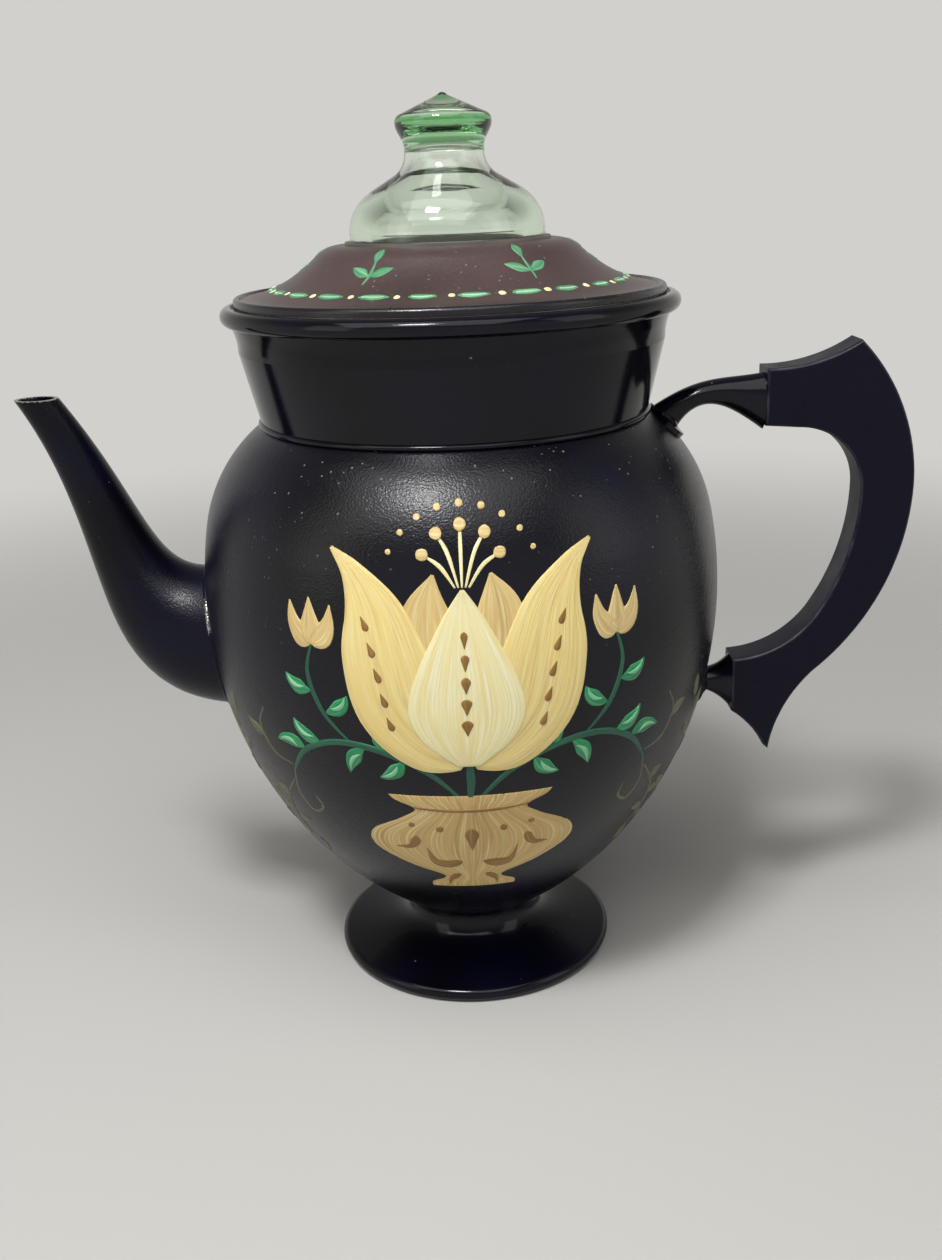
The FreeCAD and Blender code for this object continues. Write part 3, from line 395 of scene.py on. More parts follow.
def grip_paint(settings):
    """Satin black paint over a shaped wooden grip.

    Long grain shows faintly through the paint. The rounded edges turn a dull grey, partly rubbed paint
    and partly a painted highlight, and navy patches are a painted reflection of blue light.
    """
    material, tree = new_material("Satin black paint on shaped wood")
    grain_length, grain_width, patch = 30 * MM, 1.6 * MM, 12 * MM
    nick_spacing, nick_size, nick_share = 9 * MM, 0.4 * MM, 0.9
    here = add(tree, "TexCoord", out="Object")
    stretched = add(tree, "Mapping", {
        "Vector": here, "Scale": (1 / grain_width, 1 / grain_width, 1 / grain_length)})
    grain = add(tree, "TexNoise", {"Vector": stretched, "Scale": 1.0, "Detail": 3.0})
    patches = add(tree, "TexNoise", {"Vector": here, "Scale": 1 / patch, "Detail": 4.0})
    normal = add(tree, "NewGeometry", out="Normal")
    across = add(tree, "SeparateXYZ", {0: normal}, "Y")
    across = add(tree, "Math", {0: across}, operation="ABSOLUTE")
    rise = add(tree, "MapRange", {VALUE: across, FROM_LOW: 0.15, FROM_HIGH: 0.55})
    fall = add(tree, "MapRange", {
        VALUE: across, FROM_LOW: 0.7, FROM_HIGH: 0.97, TO_LOW: 1.0, TO_HIGH: 0.0})
    edge = add(tree, "Math", {0: rise, 1: fall}, operation="MULTIPLY")
    rubbed_and_highlit = add(tree, "MapRange", {
        VALUE: patches, FROM_LOW: 0.42, FROM_HIGH: 0.68, TO_LOW: 0.1, TO_HIGH: 0.75})
    edge = add(tree, "Math", {0: edge, 1: rubbed_and_highlit}, operation="MULTIPLY")
    nicks = specks(tree, here, nick_spacing, nick_size, nick_share)
    edge = add(tree, "Math", {0: edge, 1: nicks}, operation="MAXIMUM")
    # Painted reflection: navy patches of the cast stand in for blue light reflected by the paint.
    paint = add(tree, "Mix", {
        FACTOR: patches, COLOUR_A: settings.grip, COLOUR_B: settings.cast}, COLOUR_OUT, data_type="RGBA")
    # Partly painted highlight: rounded edges lighten to grey, as rubbed paint and as light along them.
    paint = add(tree, "Mix", {
        FACTOR: edge, COLOUR_A: paint, COLOUR_B: settings.rubbed_and_highlit}, COLOUR_OUT, data_type="RGBA")
    sheen = add(tree, "MapRange", {
        VALUE: patches, FROM_LOW: NOISE_LOW, FROM_HIGH: NOISE_HIGH, TO_LOW: 0.3, TO_HIGH: 0.45})
    bump = add(tree, "Bump", {"Strength": 0.3, "Distance": 0.05 * MM, "Height": grain})
    show(tree, add(tree, "BsdfPrincipled", {
        "Base Color": paint, "Roughness": sheen, "Specular IOR Level": 0.15, "Normal": bump}))
    return material


def pressed_glass(settings, top):
    """Pale green soda-lime glass, pressed in a mould.

    It is clear in the thin walls, green where the eye looks through its thick edges and deep green
    in the solid finial under its clear point, with the slow waves that a mould leaves.
    """
    material, tree = new_material("Pressed green soda-lime glass")
    wave, smear_size, core_fade, point_fade = 9 * MM, 4 * MM, 2 * MM, 1 * MM
    core_low, core_high = top - settings.solid, top - settings.point
    here = add(tree, "TexCoord", out="Object")
    waves = add(tree, "TexNoise", {"Vector": here, "Scale": 1 / wave, "Detail": 1.0})
    smear = add(tree, "TexNoise", {"Vector": here, "Scale": 1 / smear_size, "Detail": 3.0})
    polish = add(tree, "MapRange", {
        VALUE: smear, FROM_LOW: 0.4, FROM_HIGH: 0.75,
        TO_LOW: settings.roughness, TO_HIGH: 2.5 * settings.roughness})
    bump = add(tree, "Bump", {"Strength": 0.25, "Distance": 0.25 * MM, "Height": waves})
    level = add(tree, "SeparateXYZ", {0: here}, "Z")
    over = add(tree, "MapRange", {VALUE: level, FROM_LOW: core_low, FROM_HIGH: core_low + core_fade})
    under = add(tree, "MapRange", {
        VALUE: level, FROM_LOW: core_high - point_fade, FROM_HIGH: core_high, TO_LOW: 1.0, TO_HIGH: 0.0})
    core = add(tree, "Math", {0: over, 1: under}, operation="MULTIPLY")
    tone = add(tree, "Mix", {
        FACTOR: core, COLOUR_A: settings.clear, COLOUR_B: settings.core}, COLOUR_OUT, data_type="RGBA")
    surface = add(tree, "BsdfPrincipled", {
        "Base Color": tone, "Roughness": polish, "IOR": 1.51, "Transmission Weight": 1.0,
        "Normal": bump})
    depth = add(tree, "VolumeAbsorption", {"Color": settings.tint, "Density": settings.density})
    show(tree, surface, Volume=depth)
    return material


def spun_aluminium(name, colour, stain, roughness):
    """Aluminium spun on a lathe: a soft grey metal with fine rings round its axis and dull stains."""
    material, tree = new_material(name)
    ring_width = 0.9 * MM         # about four times as coarse as it is, so that it shows
    stain_size = 10 * MM
    here = add(tree, "TexCoord", out="Object")
    flat = add(tree, "VectorMath", {0: here, 1: LEVEL}, operation="MULTIPLY")
    radius = add(tree, "VectorMath", {0: flat}, "Value", operation="LENGTH")
    level = add(tree, "SeparateXYZ", {0: here}, "Z")
    place = add(tree, "Math", {0: radius, 1: level}, operation="ADD")
    rings = add(tree, "TexNoise", {"W": place, "Scale": 1 / ring_width, "Detail": 2.0},
                noise_dimensions="1D")
    stains = add(tree, "TexNoise", {"Vector": here, "Scale": 1 / stain_size, "Detail": 4.0})
    dull = add(tree, "MapRange", {
        VALUE: stains, FROM_LOW: 0.4, FROM_HIGH: 0.7, TO_LOW: 0.0, TO_HIGH: 0.3})
    dull = add(tree, "Math", {0: rings, 1: 0.4, 2: dull}, operation="MULTIPLY_ADD")
    tone = add(tree, "Mix", {
        FACTOR: dull, COLOUR_A: colour, COLOUR_B: stain}, COLOUR_OUT, data_type="RGBA")
    sheen = add(tree, "MapRange", {
        VALUE: stains, FROM_LOW: NOISE_LOW, FROM_HIGH: NOISE_HIGH,
        TO_LOW: roughness[0], TO_HIGH: roughness[1]})
    bump = add(tree, "Bump", {"Strength": 0.4, "Distance": 0.05 * MM, "Height": rings})
    show(tree, add(tree, "BsdfPrincipled", {
        "Base Color": tone, "Metallic": 1.0, "Roughness": sheen, "Normal": bump}))
    return material


def brushed_acrylic(colours, paint):
    """Artist's acrylic laid on thickly with a bristle brush.

    Bristles leave ridges along each stroke, drawn about three times as coarse as they are so that
    they show, and two more tones of paint are pulled through the main one.
    """
    if paint.name in bpy.data.materials:
        return bpy.data.materials[paint.name]
    material, tree = new_material(paint.name)
    ridge_length, ridge_width = 22 * MM, 0.9 * MM
    streak_length, streak_width = 50 * MM, 4.5 * MM
    along = add(tree, "UVMap", uv_map=BRUSH_UV)
    bristle = add(tree, "Mapping", {"Vector": along, "Scale": (1 / ridge_length, 1 / ridge_width, 1.0)})
    ridges = add(tree, "TexNoise", {"Vector": bristle, "Scale": 1.0, "Detail": 3.0, "Roughness": 0.6})
    pulled = add(tree, "Mapping", {
        "Vector": along, "Location": (3.7, 9.1, 0.0), "Scale": (1 / streak_length, 1 / streak_width, 1.0)})
    tones = add(tree, "TexNoise", {"Vector": pulled, "Scale": 1.0, "Detail": 4.0, "Roughness": 0.65})
    tone = getattr(colours, paint.main)
    for noise, other in ((tones, paint.streak), (ridges, paint.light)):
        share = add(tree, "MapRange", {
            VALUE: noise, FROM_LOW: 0.48, FROM_HIGH: 0.68, TO_LOW: 0.0, TO_HIGH: paint.strength})
        tone = add(tree, "Mix", {
            FACTOR: share, COLOUR_A: tone, COLOUR_B: getattr(colours, other)}, COLOUR_OUT, data_type="RGBA")
    sheen = add(tree, "MapRange", {
        VALUE: tones, FROM_LOW: NOISE_LOW, FROM_HIGH: NOISE_HIGH, TO_LOW: 0.38, TO_HIGH: 0.55})
    bump = add(tree, "Bump", {"Strength": 0.8, "Distance": 0.3 * MM, "Height": ridges})
    show(tree, add(tree, "BsdfPrincipled", {
        "Base Color": tone, "Roughness": sheen, "IOR": 1.48, "Normal": bump}))
    return material


def dress(material, *nodes):
    """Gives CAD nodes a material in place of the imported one."""
    for name in nodes:
        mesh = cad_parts[name].data
        mesh.materials.clear()
        mesh.materials.append(material)


def finish_piece(name, shape, material, body):
    """Makes a piece of a bmesh and lets it ride on a body."""
    bmesh.ops.recalc_face_normals(shape, faces=shape.faces)
    mesh = bpy.data.meshes.new(name)
    shape.to_mesh(mesh)
    shape.free()
    mesh.materials.append(material)
    piece = bpy.data.objects.new(name, mesh)
    bpy.context.scene.collection.objects.link(piece)
    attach(piece, body)


# Brushwork. A stroke is a list of (across, along, half width) in millimetres on a painted surface.

def skin(node):
    """Search tree of a CAD node's surface."""
    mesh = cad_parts[node].data
    return BVHTree.FromPolygons([v.co for v in mesh.vertices], [p.vertices for p in mesh.polygons])


def pot_surface():
    """Place on the pot, from mm round it beside a turn from the front, and mm above the table."""
    tree = skin("body_shell")

    def cast(turn, level):
        out = Vector((math.sin(turn), -math.cos(turn), 0.0))
        spot, normal, *_ = tree.ray_cast(out * RAY_START + Vector((0, 0, level * MM)), -out)
        return spot, normal if normal.dot(out) > 0 else -normal

    def place(across, level, turn):
        front = cast(0.0, level)[0]
        return cast(turn + across * MM / abs(front.y), level)

    return place


def lid_surface():
    """Place on the lid, from mm round it beside a turn from the front, and mm from its axis."""
    tree = skin("lid_shell")

    def place(across, radius, turn):
        angle = turn + across / radius
        over = Vector((radius * MM * math.sin(angle), -radius * MM * math.cos(angle), RAY_START))
        spot, normal, *_ = tree.ray_cast(over, Vector((0, 0, -1)))
        return spot, normal if normal.z > 0 else -normal

    return place


def smooth(points, share):
    """Catmull-Rom interpolation of a list of equal tuples."""
    spans = len(points) - 1
    index = min(int(share * spans), spans - 1)
    t = share * spans - index
    p0, p1, p2, p3 = (points[max(0, min(spans, index + shift))] for shift in (-1, 0, 1, 2))
    return tuple(
        0.5 * (2 * b + (c - a) * t + (2 * a - 5 * b + 4 * c - d) * t ** 2
               + (3 * b - a - 3 * c + d) * t ** 3)
        for a, b, c, d in zip(p0, p1, p2, p3))


def sided(points, hand):
    """Points, with or without widths, on the right for a hand of 1 and on the left for -1."""
    return [(hand * across, *rest) for across, *rest in points]


def bowed(start, end, width, bend, shape):
    """Stroke whose width follows a shape of (share along, share of the width), bowed to its left."""
    dx, dz = end[0] - start[0], end[1] - start[1]
    return [(start[0] + dx * t - bend * dz * 4 * t * (1 - t),
             start[1] + dz * t + bend * dx * 4 * t * (1 - t), width * w) for t, w in shape]


def comma(start, end, width, bend=0.0):
    """Stroke that starts round, swells and is lifted to a point."""
    return bowed(start, end, width, bend, COMMA_SHAPE)


def leaf(start, end, width, bend=0.0):
    """Pointed leaf, widest in the middle."""
    return bowed(start, end, width, bend, LEAF_SHAPE)


def dot(middle, radius):
    return [(middle[0] + radius * t, middle[1], radius * w) for t, w in DOT_SHAPE]


def line(points, width):
    """Thin stroke of even width with tapered ends."""
    last = len(points) - 1
    return [(x, z, width * (0.45 if i in (0, last) else 1.0)) for i, (x, z) in enumerate(points)]


class Brushwork:
    """Raised strokes of one paint on one surface, gathered into a piece."""

    def __init__(self, name, place, colours, paint, seed):
        self.name = name
        self.place = place
        self.material = brushed_acrylic(colours, paint)
        self.thickness = colours.thickness / MM
        self.mesh = bmesh.new()
        self.uv = self.mesh.loops.layers.uv.new(BRUSH_UV)
        self.hand = random.Random(seed)

    def stroke(self, points, steps=14, columns=7, lift=0.0, turn=0.0):
        """Adds a closed thin solid along the points beside a turn, on paint that is lift mm thick.

        A stroke is a little lower in the middle, where the brush pressed, and round at its edges.
        """
        length = sum(math.dist(a[:2], b[:2]) for a, b in zip(points, points[1:]))
        widest = max(width for *_, width in points)
        offset = (self.hand.uniform(0, ANY_GRAIN), self.hand.uniform(0, ANY_GRAIN))
        phase = self.hand.uniform(0, ANY_PHASE)
        top, under, marks = [], [], []
        for step in range(steps + 1):
            share = step / steps
            x, z, width = smooth(points, share)
            ahead = smooth(points, min(1.0, share + SLOPE_STEP))
            behind = smooth(points, max(0.0, share - SLOPE_STEP))
            dx, dz = ahead[0] - behind[0], ahead[1] - behind[1]
            run = math.hypot(dx, dz) or 1.0
            width = max(width, LEAST_WIDTH) * (1 + WOBBLE * math.sin(phase + WOBBLE_PACE * share))
            ends = min(1.0, END_RISE * share + END_EDGE, END_RISE * (1 - share) + END_EDGE)
            for column in range(columns):
                side = math.sin(math.pi / 2 * (2 * column / (columns - 1) - 1))
                spot, out = self.place(x - dz / run * width * side, z + dx / run * width * side, turn)
                crown = (0.7 + 0.3 * side ** 2) * (1 - side ** 8) * ends
                height = lift + self.thickness * min(1.0, width / FULL_WIDTH) * crown
                top.append(self.mesh.verts.new(spot + out * height * MM))
                under.append(self.mesh.verts.new(spot - out * PAINT_SINK * MM))
                marks.append(((share * length + offset[0]) * MM, (side * widest + offset[1]) * MM))
        self.skin_over(top, under, marks, steps, columns)

    def skin_over(self, top, under, marks, steps, columns):
        """Closes a stroke with faces over, under and round it."""
        at = {vert: mark for verts in (top, under) for vert, mark in zip(verts, marks)}

        def face(*corners):
            made = self.mesh.faces.new(corners)
            made.smooth = True
            for loop in made.loops:
                loop[self.uv].uv = at[loop.vert]

        for step in range(steps):
            for column in range(columns - 1):
                a = step * columns + column
                b, c, d = a + 1, a + columns + 1, a + columns
                face(top[a], top[d], top[c], top[b])
                face(under[a], under[b], under[c], under[d])
            first, last = step * columns, (step + 1) * columns - 1
            face(top[first], under[first], under[first + columns], top[first + columns])
            face(top[last], top[last + columns], under[last + columns], under[last])
        for column in range(columns - 1):
            end = steps * columns + column
            face(top[column], top[column + 1], under[column + 1], under[column])
            face(top[end], under[end], under[end + 1], top[end + 1])

    def finish(self, body, slot):
        finish_piece(self.name, self.mesh, self.material, body)


# Operators

class PERCOLATOR_OT_enamel(bpy.types.Operator):
    """Gives the pot, spout, foot, brackets and lid their black enamel"""
    bl_idname = "percolator.enamel"
    bl_label = "Enamel the pot and lid"

    def execute(self, context):
        settings = context.scene.percolator_enamel
        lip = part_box("spout")[1].z
        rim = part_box("neck_collar")[1].z
        lid_low, lid_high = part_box("lid_shell")
        lid_radius = (lid_high.x - lid_low.x) / 2
        worn = Layer(lip_wear(lip), settings.worn, metal=True, roughness=0.3)
        hollow = Layer(bare_inside(rim), settings.metal, metal=True, roughness=0.45)
        film = Layer(film_inside(FILM_SHARE * lid_radius), settings.film, metal=False, roughness=0.42)
        dress(enamel("Satin black enamel, brushed on plate", settings, SATIN, hollow), "body_shell")
        dress(enamel("Gloss black enamel, bare inside", settings, GLOSS, hollow), "neck_collar")
        dress(enamel("Gloss black enamel, brushed on plate", settings, GLOSS),
              "foot", "upper_bracket", "lower_bracket", "upper_rivets", "lower_rivets")
        dress(enamel("Black enamel under a dull film", settings, FILMED, film), "lid_shell")
        dress(enamel("Satin black enamel, worn at the lip", settings, SPOUT, worn), "spout")
        return {"FINISHED"}


class PERCOLATOR_OT_grip(bpy.types.Operator):
    """Gives the grip its paint over wood"""
    bl_idname = "percolator.grip"
    bl_label = "Paint the grip"

    def execute(self, context):
        settings = context.scene.percolator_enamel
        dress(grip_paint(settings), "handle_grip", "upper_pin", "lower_pin")
        return {"FINISHED"}


class PERCOLATOR_OT_glass(bpy.types.Operator):
    """Gives the percolator top its green glass"""
    bl_idname = "percolator.glass"
    bl_label = "Glaze the top"

    def execute(self, context):
        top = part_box("glass_top")[1].z
        dress(pressed_glass(context.scene.percolator_glass, top), "glass_top")
        return {"FINISHED"}


class PERCOLATOR_OT_inside(bpy.types.Operator):
    """Gives the pump, basket and small fittings their bare metal"""
    bl_idname = "percolator.inside"
    bl_label = "Finish the inside metal"

    def execute(self, context):
        settings = context.scene.percolator_enamel
        bright = spun_aluminium("Spun aluminium", settings.metal, settings.stain, (0.28, 0.42))
        aged = spun_aluminium("Tarnished spun aluminium", settings.tarnish, settings.stain, (0.38, 0.55))
        dress(bright, "pump_tube", "pump_bell", "valve_seat", "valve_disc", "basket_stop",
              "coffee_basket", "basket_sleeve", "spreader", "lid_skirt")
        dress(aged, "base_plate", "glass_collar")
        return {"FINISHED"}


class PERCOLATOR_OT_solder(bpy.types.Operator):
    """Runs a thin bead of solder round the root of the spout"""
    bl_idname = "percolator.solder"
    bl_label = "Solder the spout"

    def execute(self, context):
        settings = context.scene.percolator_enamel
        pot, spout = skin("body_shell"), skin("spout")
        near = [vert.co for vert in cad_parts["spout"].data.vertices
                if pot.find_nearest(vert.co)[3] < SEAM_TOUCH]
        if not near:
            raise RuntimeError("the spout doesn't meet the pot")
        centre = sum(near, Vector()) / len(near)
        turns = [2 * math.pi * step / SEAM_STEPS for step in range(SEAM_STEPS)]
        path = [self.meet(pot, spout, centre, turn) for turn in turns]
        angles = [2 * math.pi * side / BEAD_SIDES for side in range(BEAD_SIDES)]
        mesh = bmesh.new()
        rings = []
        for step, (spot, out) in enumerate(path):
            along = path[(step + 1) % SEAM_STEPS][0] - path[step - 1][0]
            beside = along.cross(out).normalized()
            ring = [spot + settings.bead / 2 * (math.cos(a) * out + math.sin(a) * beside) for a in angles]
            rings.append([mesh.verts.new(place) for place in ring])
        for ring, after in zip(rings, rings[1:] + rings[:1]):
            for side in range(BEAD_SIDES):
                other = (side + 1) % BEAD_SIDES
                mesh.faces.new((ring[side], ring[other], after[other], after[side])).smooth = True
        worn = Layer(seam_wear(centre.z + SEAM_WEAR_RISE), settings.worn, metal=True, roughness=0.3)
        paint = enamel("Satin black enamel over solder", settings, SOLDER, worn)
        finish_piece("spout_solder_bead", mesh, paint, "pot")
        return {"FINISHED"}

    def meet(self, pot, spout, centre, turn):
        """Point on the pot, and the direction out of it, where the spout comes down at a turn."""
        reach = SEAM_SEARCH
        while reach > 0:
            beside, over = reach * math.cos(turn), reach * math.sin(turn)
            start = Vector((-RAY_START, centre.y + beside, centre.z + over))
            spot, out, *_ = pot.ray_cast(start, Vector((1, 0, 0)))
            if spot and spout.find_nearest(spot)[3] < SEAM_TOUCH:
                return spot, out if out.x < 0 else -out
            reach -= SEAM_TOUCH / 2
        raise RuntimeError("the seam of the spout wasn't found")


class PERCOLATOR_OT_paint_urn(bpy.types.Operator):
    """Paints the ochre urn on the front of the pot"""
    bl_idname = "percolator.paint_urn"
    bl_label = "Paint the urn"

    def execute(self, context):
        colours = context.scene.percolator_painting
        place = pot_surface()
        thick = colours.thickness / MM
        urn = Brushwork("painted_urn", place, colours, OCHRE, 1)
        urn.stroke([(0, 46.5, 13), (0, 49, 12.5), (0, 52.5, 8), (0, 58, 18), (0, 65, 28), (0, 72, 29.5),
                    (0, 78, 21), (0, 81.5, 16.5), (0, 84.5, 21), (0, 86.5, 22)], 44, 21)
        urn.finish("pot", "black_enamel")

        marks = Brushwork("painted_urn_marks", place, colours, BROWN, 2)
        for side in (-1, 1):
            for stroke in (
                    comma((side * 3, 60), (side * 13, 66), 1.7, side * -0.35),
                    comma((side * 16, 71), (side * 22, 66), 1.5, side * -0.3),
                    comma((side * 3.5, 53.5), (side * 7, 48), 1.1, side * 0.2),
                    dot((side * 9, 74), 1.1),
                    dot((side * 17, 75.5), 0.9)):
                marks.stroke(stroke, lift=thick)
        marks.stroke(comma((0, 74), (0, 65), 1.9), lift=thick)
        marks.stroke(line([(-16, 82.2), (-8, 81.4), (0, 81.1), (8, 81.4), (16, 82.2)], 0.5), 20, 5, thick)
        marks.finish("pot", "black_enamel")
        return {"FINISHED"}


class PERCOLATOR_OT_paint_flower(bpy.types.Operator):
    """Paints the large tulip and its stamens"""
    bl_idname = "percolator.paint_flower"
    bl_label = "Paint the tulip"

    def execute(self, context):
        colours = context.scene.percolator_painting
        place = pot_surface()
        thick = colours.thickness / MM
        self.petals(place, colours, thick)
        self.stamens(place, colours, thick)
        return {"FINISHED"}

    def petals(self, place, colours, thick):
        """Two back petals, two sides and a front, each over the last, with rows of brown strokes."""
        back = Brushwork("painted_tulip_back", place, colours, WARM, 3)
        sides = Brushwork("painted_tulip_sides", place, colours, CREAM, 4)
        front = Brushwork("painted_tulip_front", place, colours, IVORY, 5)
        marks = Brushwork("painted_tulip_marks", place, colours, BROWN, 6)
        for hand in (1, -1):
            petal = [(-4, 117, 4), (-9, 130, 7.5), (-9.5, 141.5, 6), (-7.5, 151, 0.4)]
            back.stroke(sided(petal, hand), 26, 11)
            side = [(-1, 98, 2.5), (-10, 103, 9), (-18, 114, 12.5), (-21.5, 128, 11.5), (-24, 141, 8),
                    (-29, 151, 3.6), (-35, 157, 0.5)]
            sides.stroke(sided(side, hand), 44, 17, thick)
        front.stroke([(0, 97, 3), (0, 104, 11), (0, 114, 15), (0, 126, 13), (0, 138, 6.5), (0, 147, 0.5)],
                     40, 17, 2 * thick)
        for row, width in enumerate((1.5, 1.4, 1.25, 1.1, 0.9)):
            level = 109 + 6.2 * row
            marks.stroke(comma((0, level + 2.4), (0, level - 2.2), width), 10, 5, 3 * thick)
        for row in range(5):
            for hand in (-1, 1):
                foot = (hand * (20 + 1.4 * row), 108 + 7.0 * row)
                marks.stroke(comma(foot, (foot[0] + hand * 1.6, foot[1] + 4.0), 0.95), 10, 5, 2 * thick)
        for work in (back, sides, front, marks):
            work.finish("pot", "black_enamel")

    def stamens(self, place, colours, thick):
        """Five stamens that fan out of the tulip, under an arch of dots."""
        stamens = Brushwork("painted_stamens", place, colours, IVORY, 7)
        dots = Brushwork("painted_stamen_dots", place, colours, WARM, 8)
        foot, arch_middle, arch_radius = 147.5, 146.5, 21.5
        for step in range(-2, 3):
            lean = math.radians(25 * step)
            reach = 15.5 - 0.6 * step ** 2
            bend = (0.55 * reach * math.sin(lean), foot + 0.65 * reach * math.cos(lean))
            tip = (reach * math.sin(lean), foot + reach * math.cos(lean))
            stamens.stroke(line([(0.9 * step, foot), bend, tip], 0.55), 18, 5)
            dots.stroke(dot(tip, 1.6), 10, 9, thick)
        for step in range(-4, 5):
            lean = math.radians(15.5 * step)
            spot = (arch_radius * math.sin(lean), arch_middle + arch_radius * math.cos(lean))
            dots.stroke(dot(spot, 1.0 - 0.06 * abs(step)), 8, 7)
        for work in (stamens, dots):
            work.finish("pot", "black_enamel")


class PERCOLATOR_OT_paint_vines(bpy.types.Operator):
    """Paints the green stems and leaves on the front and sides of the pot"""
    bl_idname = "percolator.paint_vines"
    bl_label = "Paint the vines"

    def execute(self, context):
        colours = context.scene.percolator_painting
        place = pot_surface()
        thick = colours.thickness / MM
        stems, leaves, lights, tendrils, buds = works = [
            Brushwork(name, place, colours, paint, seed)
            for name, paint, seed in (
                ("painted_stems", VINE, 9), ("painted_leaves", LEAF_GREEN, 10),
                ("painted_leaf_lights", LEAF_LIGHT, 11), ("painted_tendrils", OLIVE, 12),
                ("painted_side_buds", WARM, 13))]
        stems.stroke(line([(0, 85.5), (0.4, 92), (0, 99)], 1.3), 12, 5)
        for hand in (-1, 1):
            self.branch(hand, stems, leaves, lights, thick)
            self.bud(hand, buds)
            self.tendrils(hand, tendrils)
        for work in works:
            work.finish("pot", "black_enamel")
        return {"FINISHED"}

    def branch(self, hand, stems, leaves, lights, thick):
        """Green branch with a side stem for a bud, and leaves with a light stroke on each."""
        main = [(3, 86), (12, 95), (25, 101), (38, 102), (49, 97), (55, 88)]
        stems.stroke(line(sided(main, hand), 1.0), 34, 5)
        stems.stroke(line(sided([(33, 102.5), (41, 111), (45, 122), (43, 131)], hand), 0.7), 22, 5)
        for start, end, bend in (((17, 98.5), (12, 107), 0.1), ((24, 101), (22, 110), -0.12),
                                 ((29, 101.5), (34, 92.5), 0.12), ((43, 101), (52, 107), -0.14),
                                 ((49, 97.5), (60, 98), 0.14), ((40, 111), (33, 117), 0.14),
                                 ((44.5, 117), (53, 121), -0.14), ((18, 98), (25, 92), -0.12)):
            first, last = sided((start, end), hand)
            leaves.stroke(leaf(first, last, 2.3, hand * bend), 14, 7)
            inner, outer = (
                tuple(a + share * (b - a) for a, b in zip(first, last)) for share in (0.25, 0.9))
            lights.stroke(leaf(inner, outer, 0.7, hand * bend * 1.6), 10, 5, thick)

    def bud(self, hand, buds):
        """Bud of three petals, each pulled from its tip down to the stem."""
        for petal in (comma((43, 131), (36.5, 142), 3.4, 0.16),
                      comma((43, 131), (49.5, 142), 3.4, -0.16),
                      comma((43, 130.5), (43, 143.5), 3.6)):
            buds.stroke(sided(petal, hand)[::-1], 16, 9)

    def tendrils(self, hand, tendrils):
        """Muted tendrils off the branch, and a spray with leaves on the side of the pot."""
        for path, width, steps in (([(55, 88), (55, 79), (50, 73), (46, 76), (48, 80)], 0.5, 24),
                                   ([(55, 90), (63, 92), (68, 100), (65, 107)], 0.5, 20),
                                   ([(56, 84), (62, 74), (60, 63), (52, 56)], 0.55, 24)):
            tendrils.stroke(line(sided(path, hand), width), steps, 5)
        for ends in (((60, 76), (67, 79)), ((61.5, 70), (68, 68)), ((58.5, 61), (63, 55)),
                     ((54, 57.5), (50, 51)), ((60, 65), (54, 66)), ((66.5, 97), (75, 101))):
            tendrils.stroke(leaf(*sided(ends, hand), 1.9, 0.08), 12, 5)
        side = hand * SIDE_TURN
        spray = [(-5, 58), (2, 70), (5, 84), (2, 98)]
        tendrils.stroke(line(sided(spray, hand), 0.55), 26, 5, turn=side)
        for ends in (((-2, 63), (5, 61)), ((1, 68), (-7, 73)), ((4, 77), (11, 80)),
                     ((5, 84), (-2, 90)), ((4, 92), (9, 98)), ((2, 98), (-1, 106))):
            tendrils.stroke(leaf(*sided(ends, hand), 2.2, 0.08), 12, 5, turn=side)


class PERCOLATOR_OT_paint_lid(bpy.types.Operator):
    """Paints the border of dashes and dots and the small sprigs on the lid"""
    bl_idname = "percolator.paint_lid"
    bl_label = "Paint the lid"

    def execute(self, context):
        colours = context.scene.percolator_painting
        place = lid_surface()
        dashes, lights, dots, sprigs = works = [
            Brushwork(name, place, colours, paint, seed)
            for name, paint, seed in (
                ("painted_border_dashes", MINT, 15), ("painted_border_lights", MINT_LIGHT, 16),
                ("painted_border_dots", BORDER_IVORY, 17), ("painted_lid_sprigs", MINT, 18))]
        self.border(colours, dashes, lights, dots)
        for step in range(colours.sprig_count):
            turn = 2 * math.pi * (step + 0.5) / colours.sprig_count
            sprigs.stroke(line([(0, 46.5), (0.4, 43), (0, 38.5)], 0.5), 12, 5, turn=turn)
            for ends in (((0.2, 43.5), (-6.5, 41)), ((0.2, 43.5), (6.5, 41)), ((0, 39.5), (0, 34.5))):
                sprigs.stroke(leaf(*ends, 1.4), 12, 5, turn=turn)
        for work in works:
            work.finish("lid", "lid_enamel")
        return {"FINISHED"}

    def border(self, colours, dashes, lights, dots):
        """Uneven dashes with a light stroke on each, and a dot between every two."""
        thick = colours.thickness / MM
        radius = colours.border_radius / MM
        half_dash, half_width = colours.dash_length / MM / 2, colours.dash_width / MM / 2
        pitch = 2 * math.pi / colours.border_count
        hand = random.Random(14)
        for step in range(colours.border_count):
            turn = (step + 0.5) * pitch + hand.uniform(-0.012, 0.012)
            length = half_dash * hand.uniform(0.85, 1.1)
            drift = hand.uniform(-0.3, 0.3)
            dashes.stroke([(-length, radius - drift, 0.15), (-0.65 * length, radius, 0.75 * half_width),
                           (0, radius + 0.2, half_width), (0.65 * length, radius, 0.7 * half_width),
                           (length, radius + drift, 0.15)], 14, 7, turn=turn)
            shine = [(-0.75 * length, radius + 0.2), (0, radius + 0.5), (0.75 * length, radius + 0.2)]
            lights.stroke(line(shine, 0.5), 10, 5, thick, turn)
            spot = dot((hand.uniform(-0.5, 0.5), radius + hand.uniform(-0.3, 0.3)),
                       colours.dot_size / MM / 2 * hand.uniform(0.85, 1.1))
            dots.stroke(spot, 8, 7, turn=step * pitch)


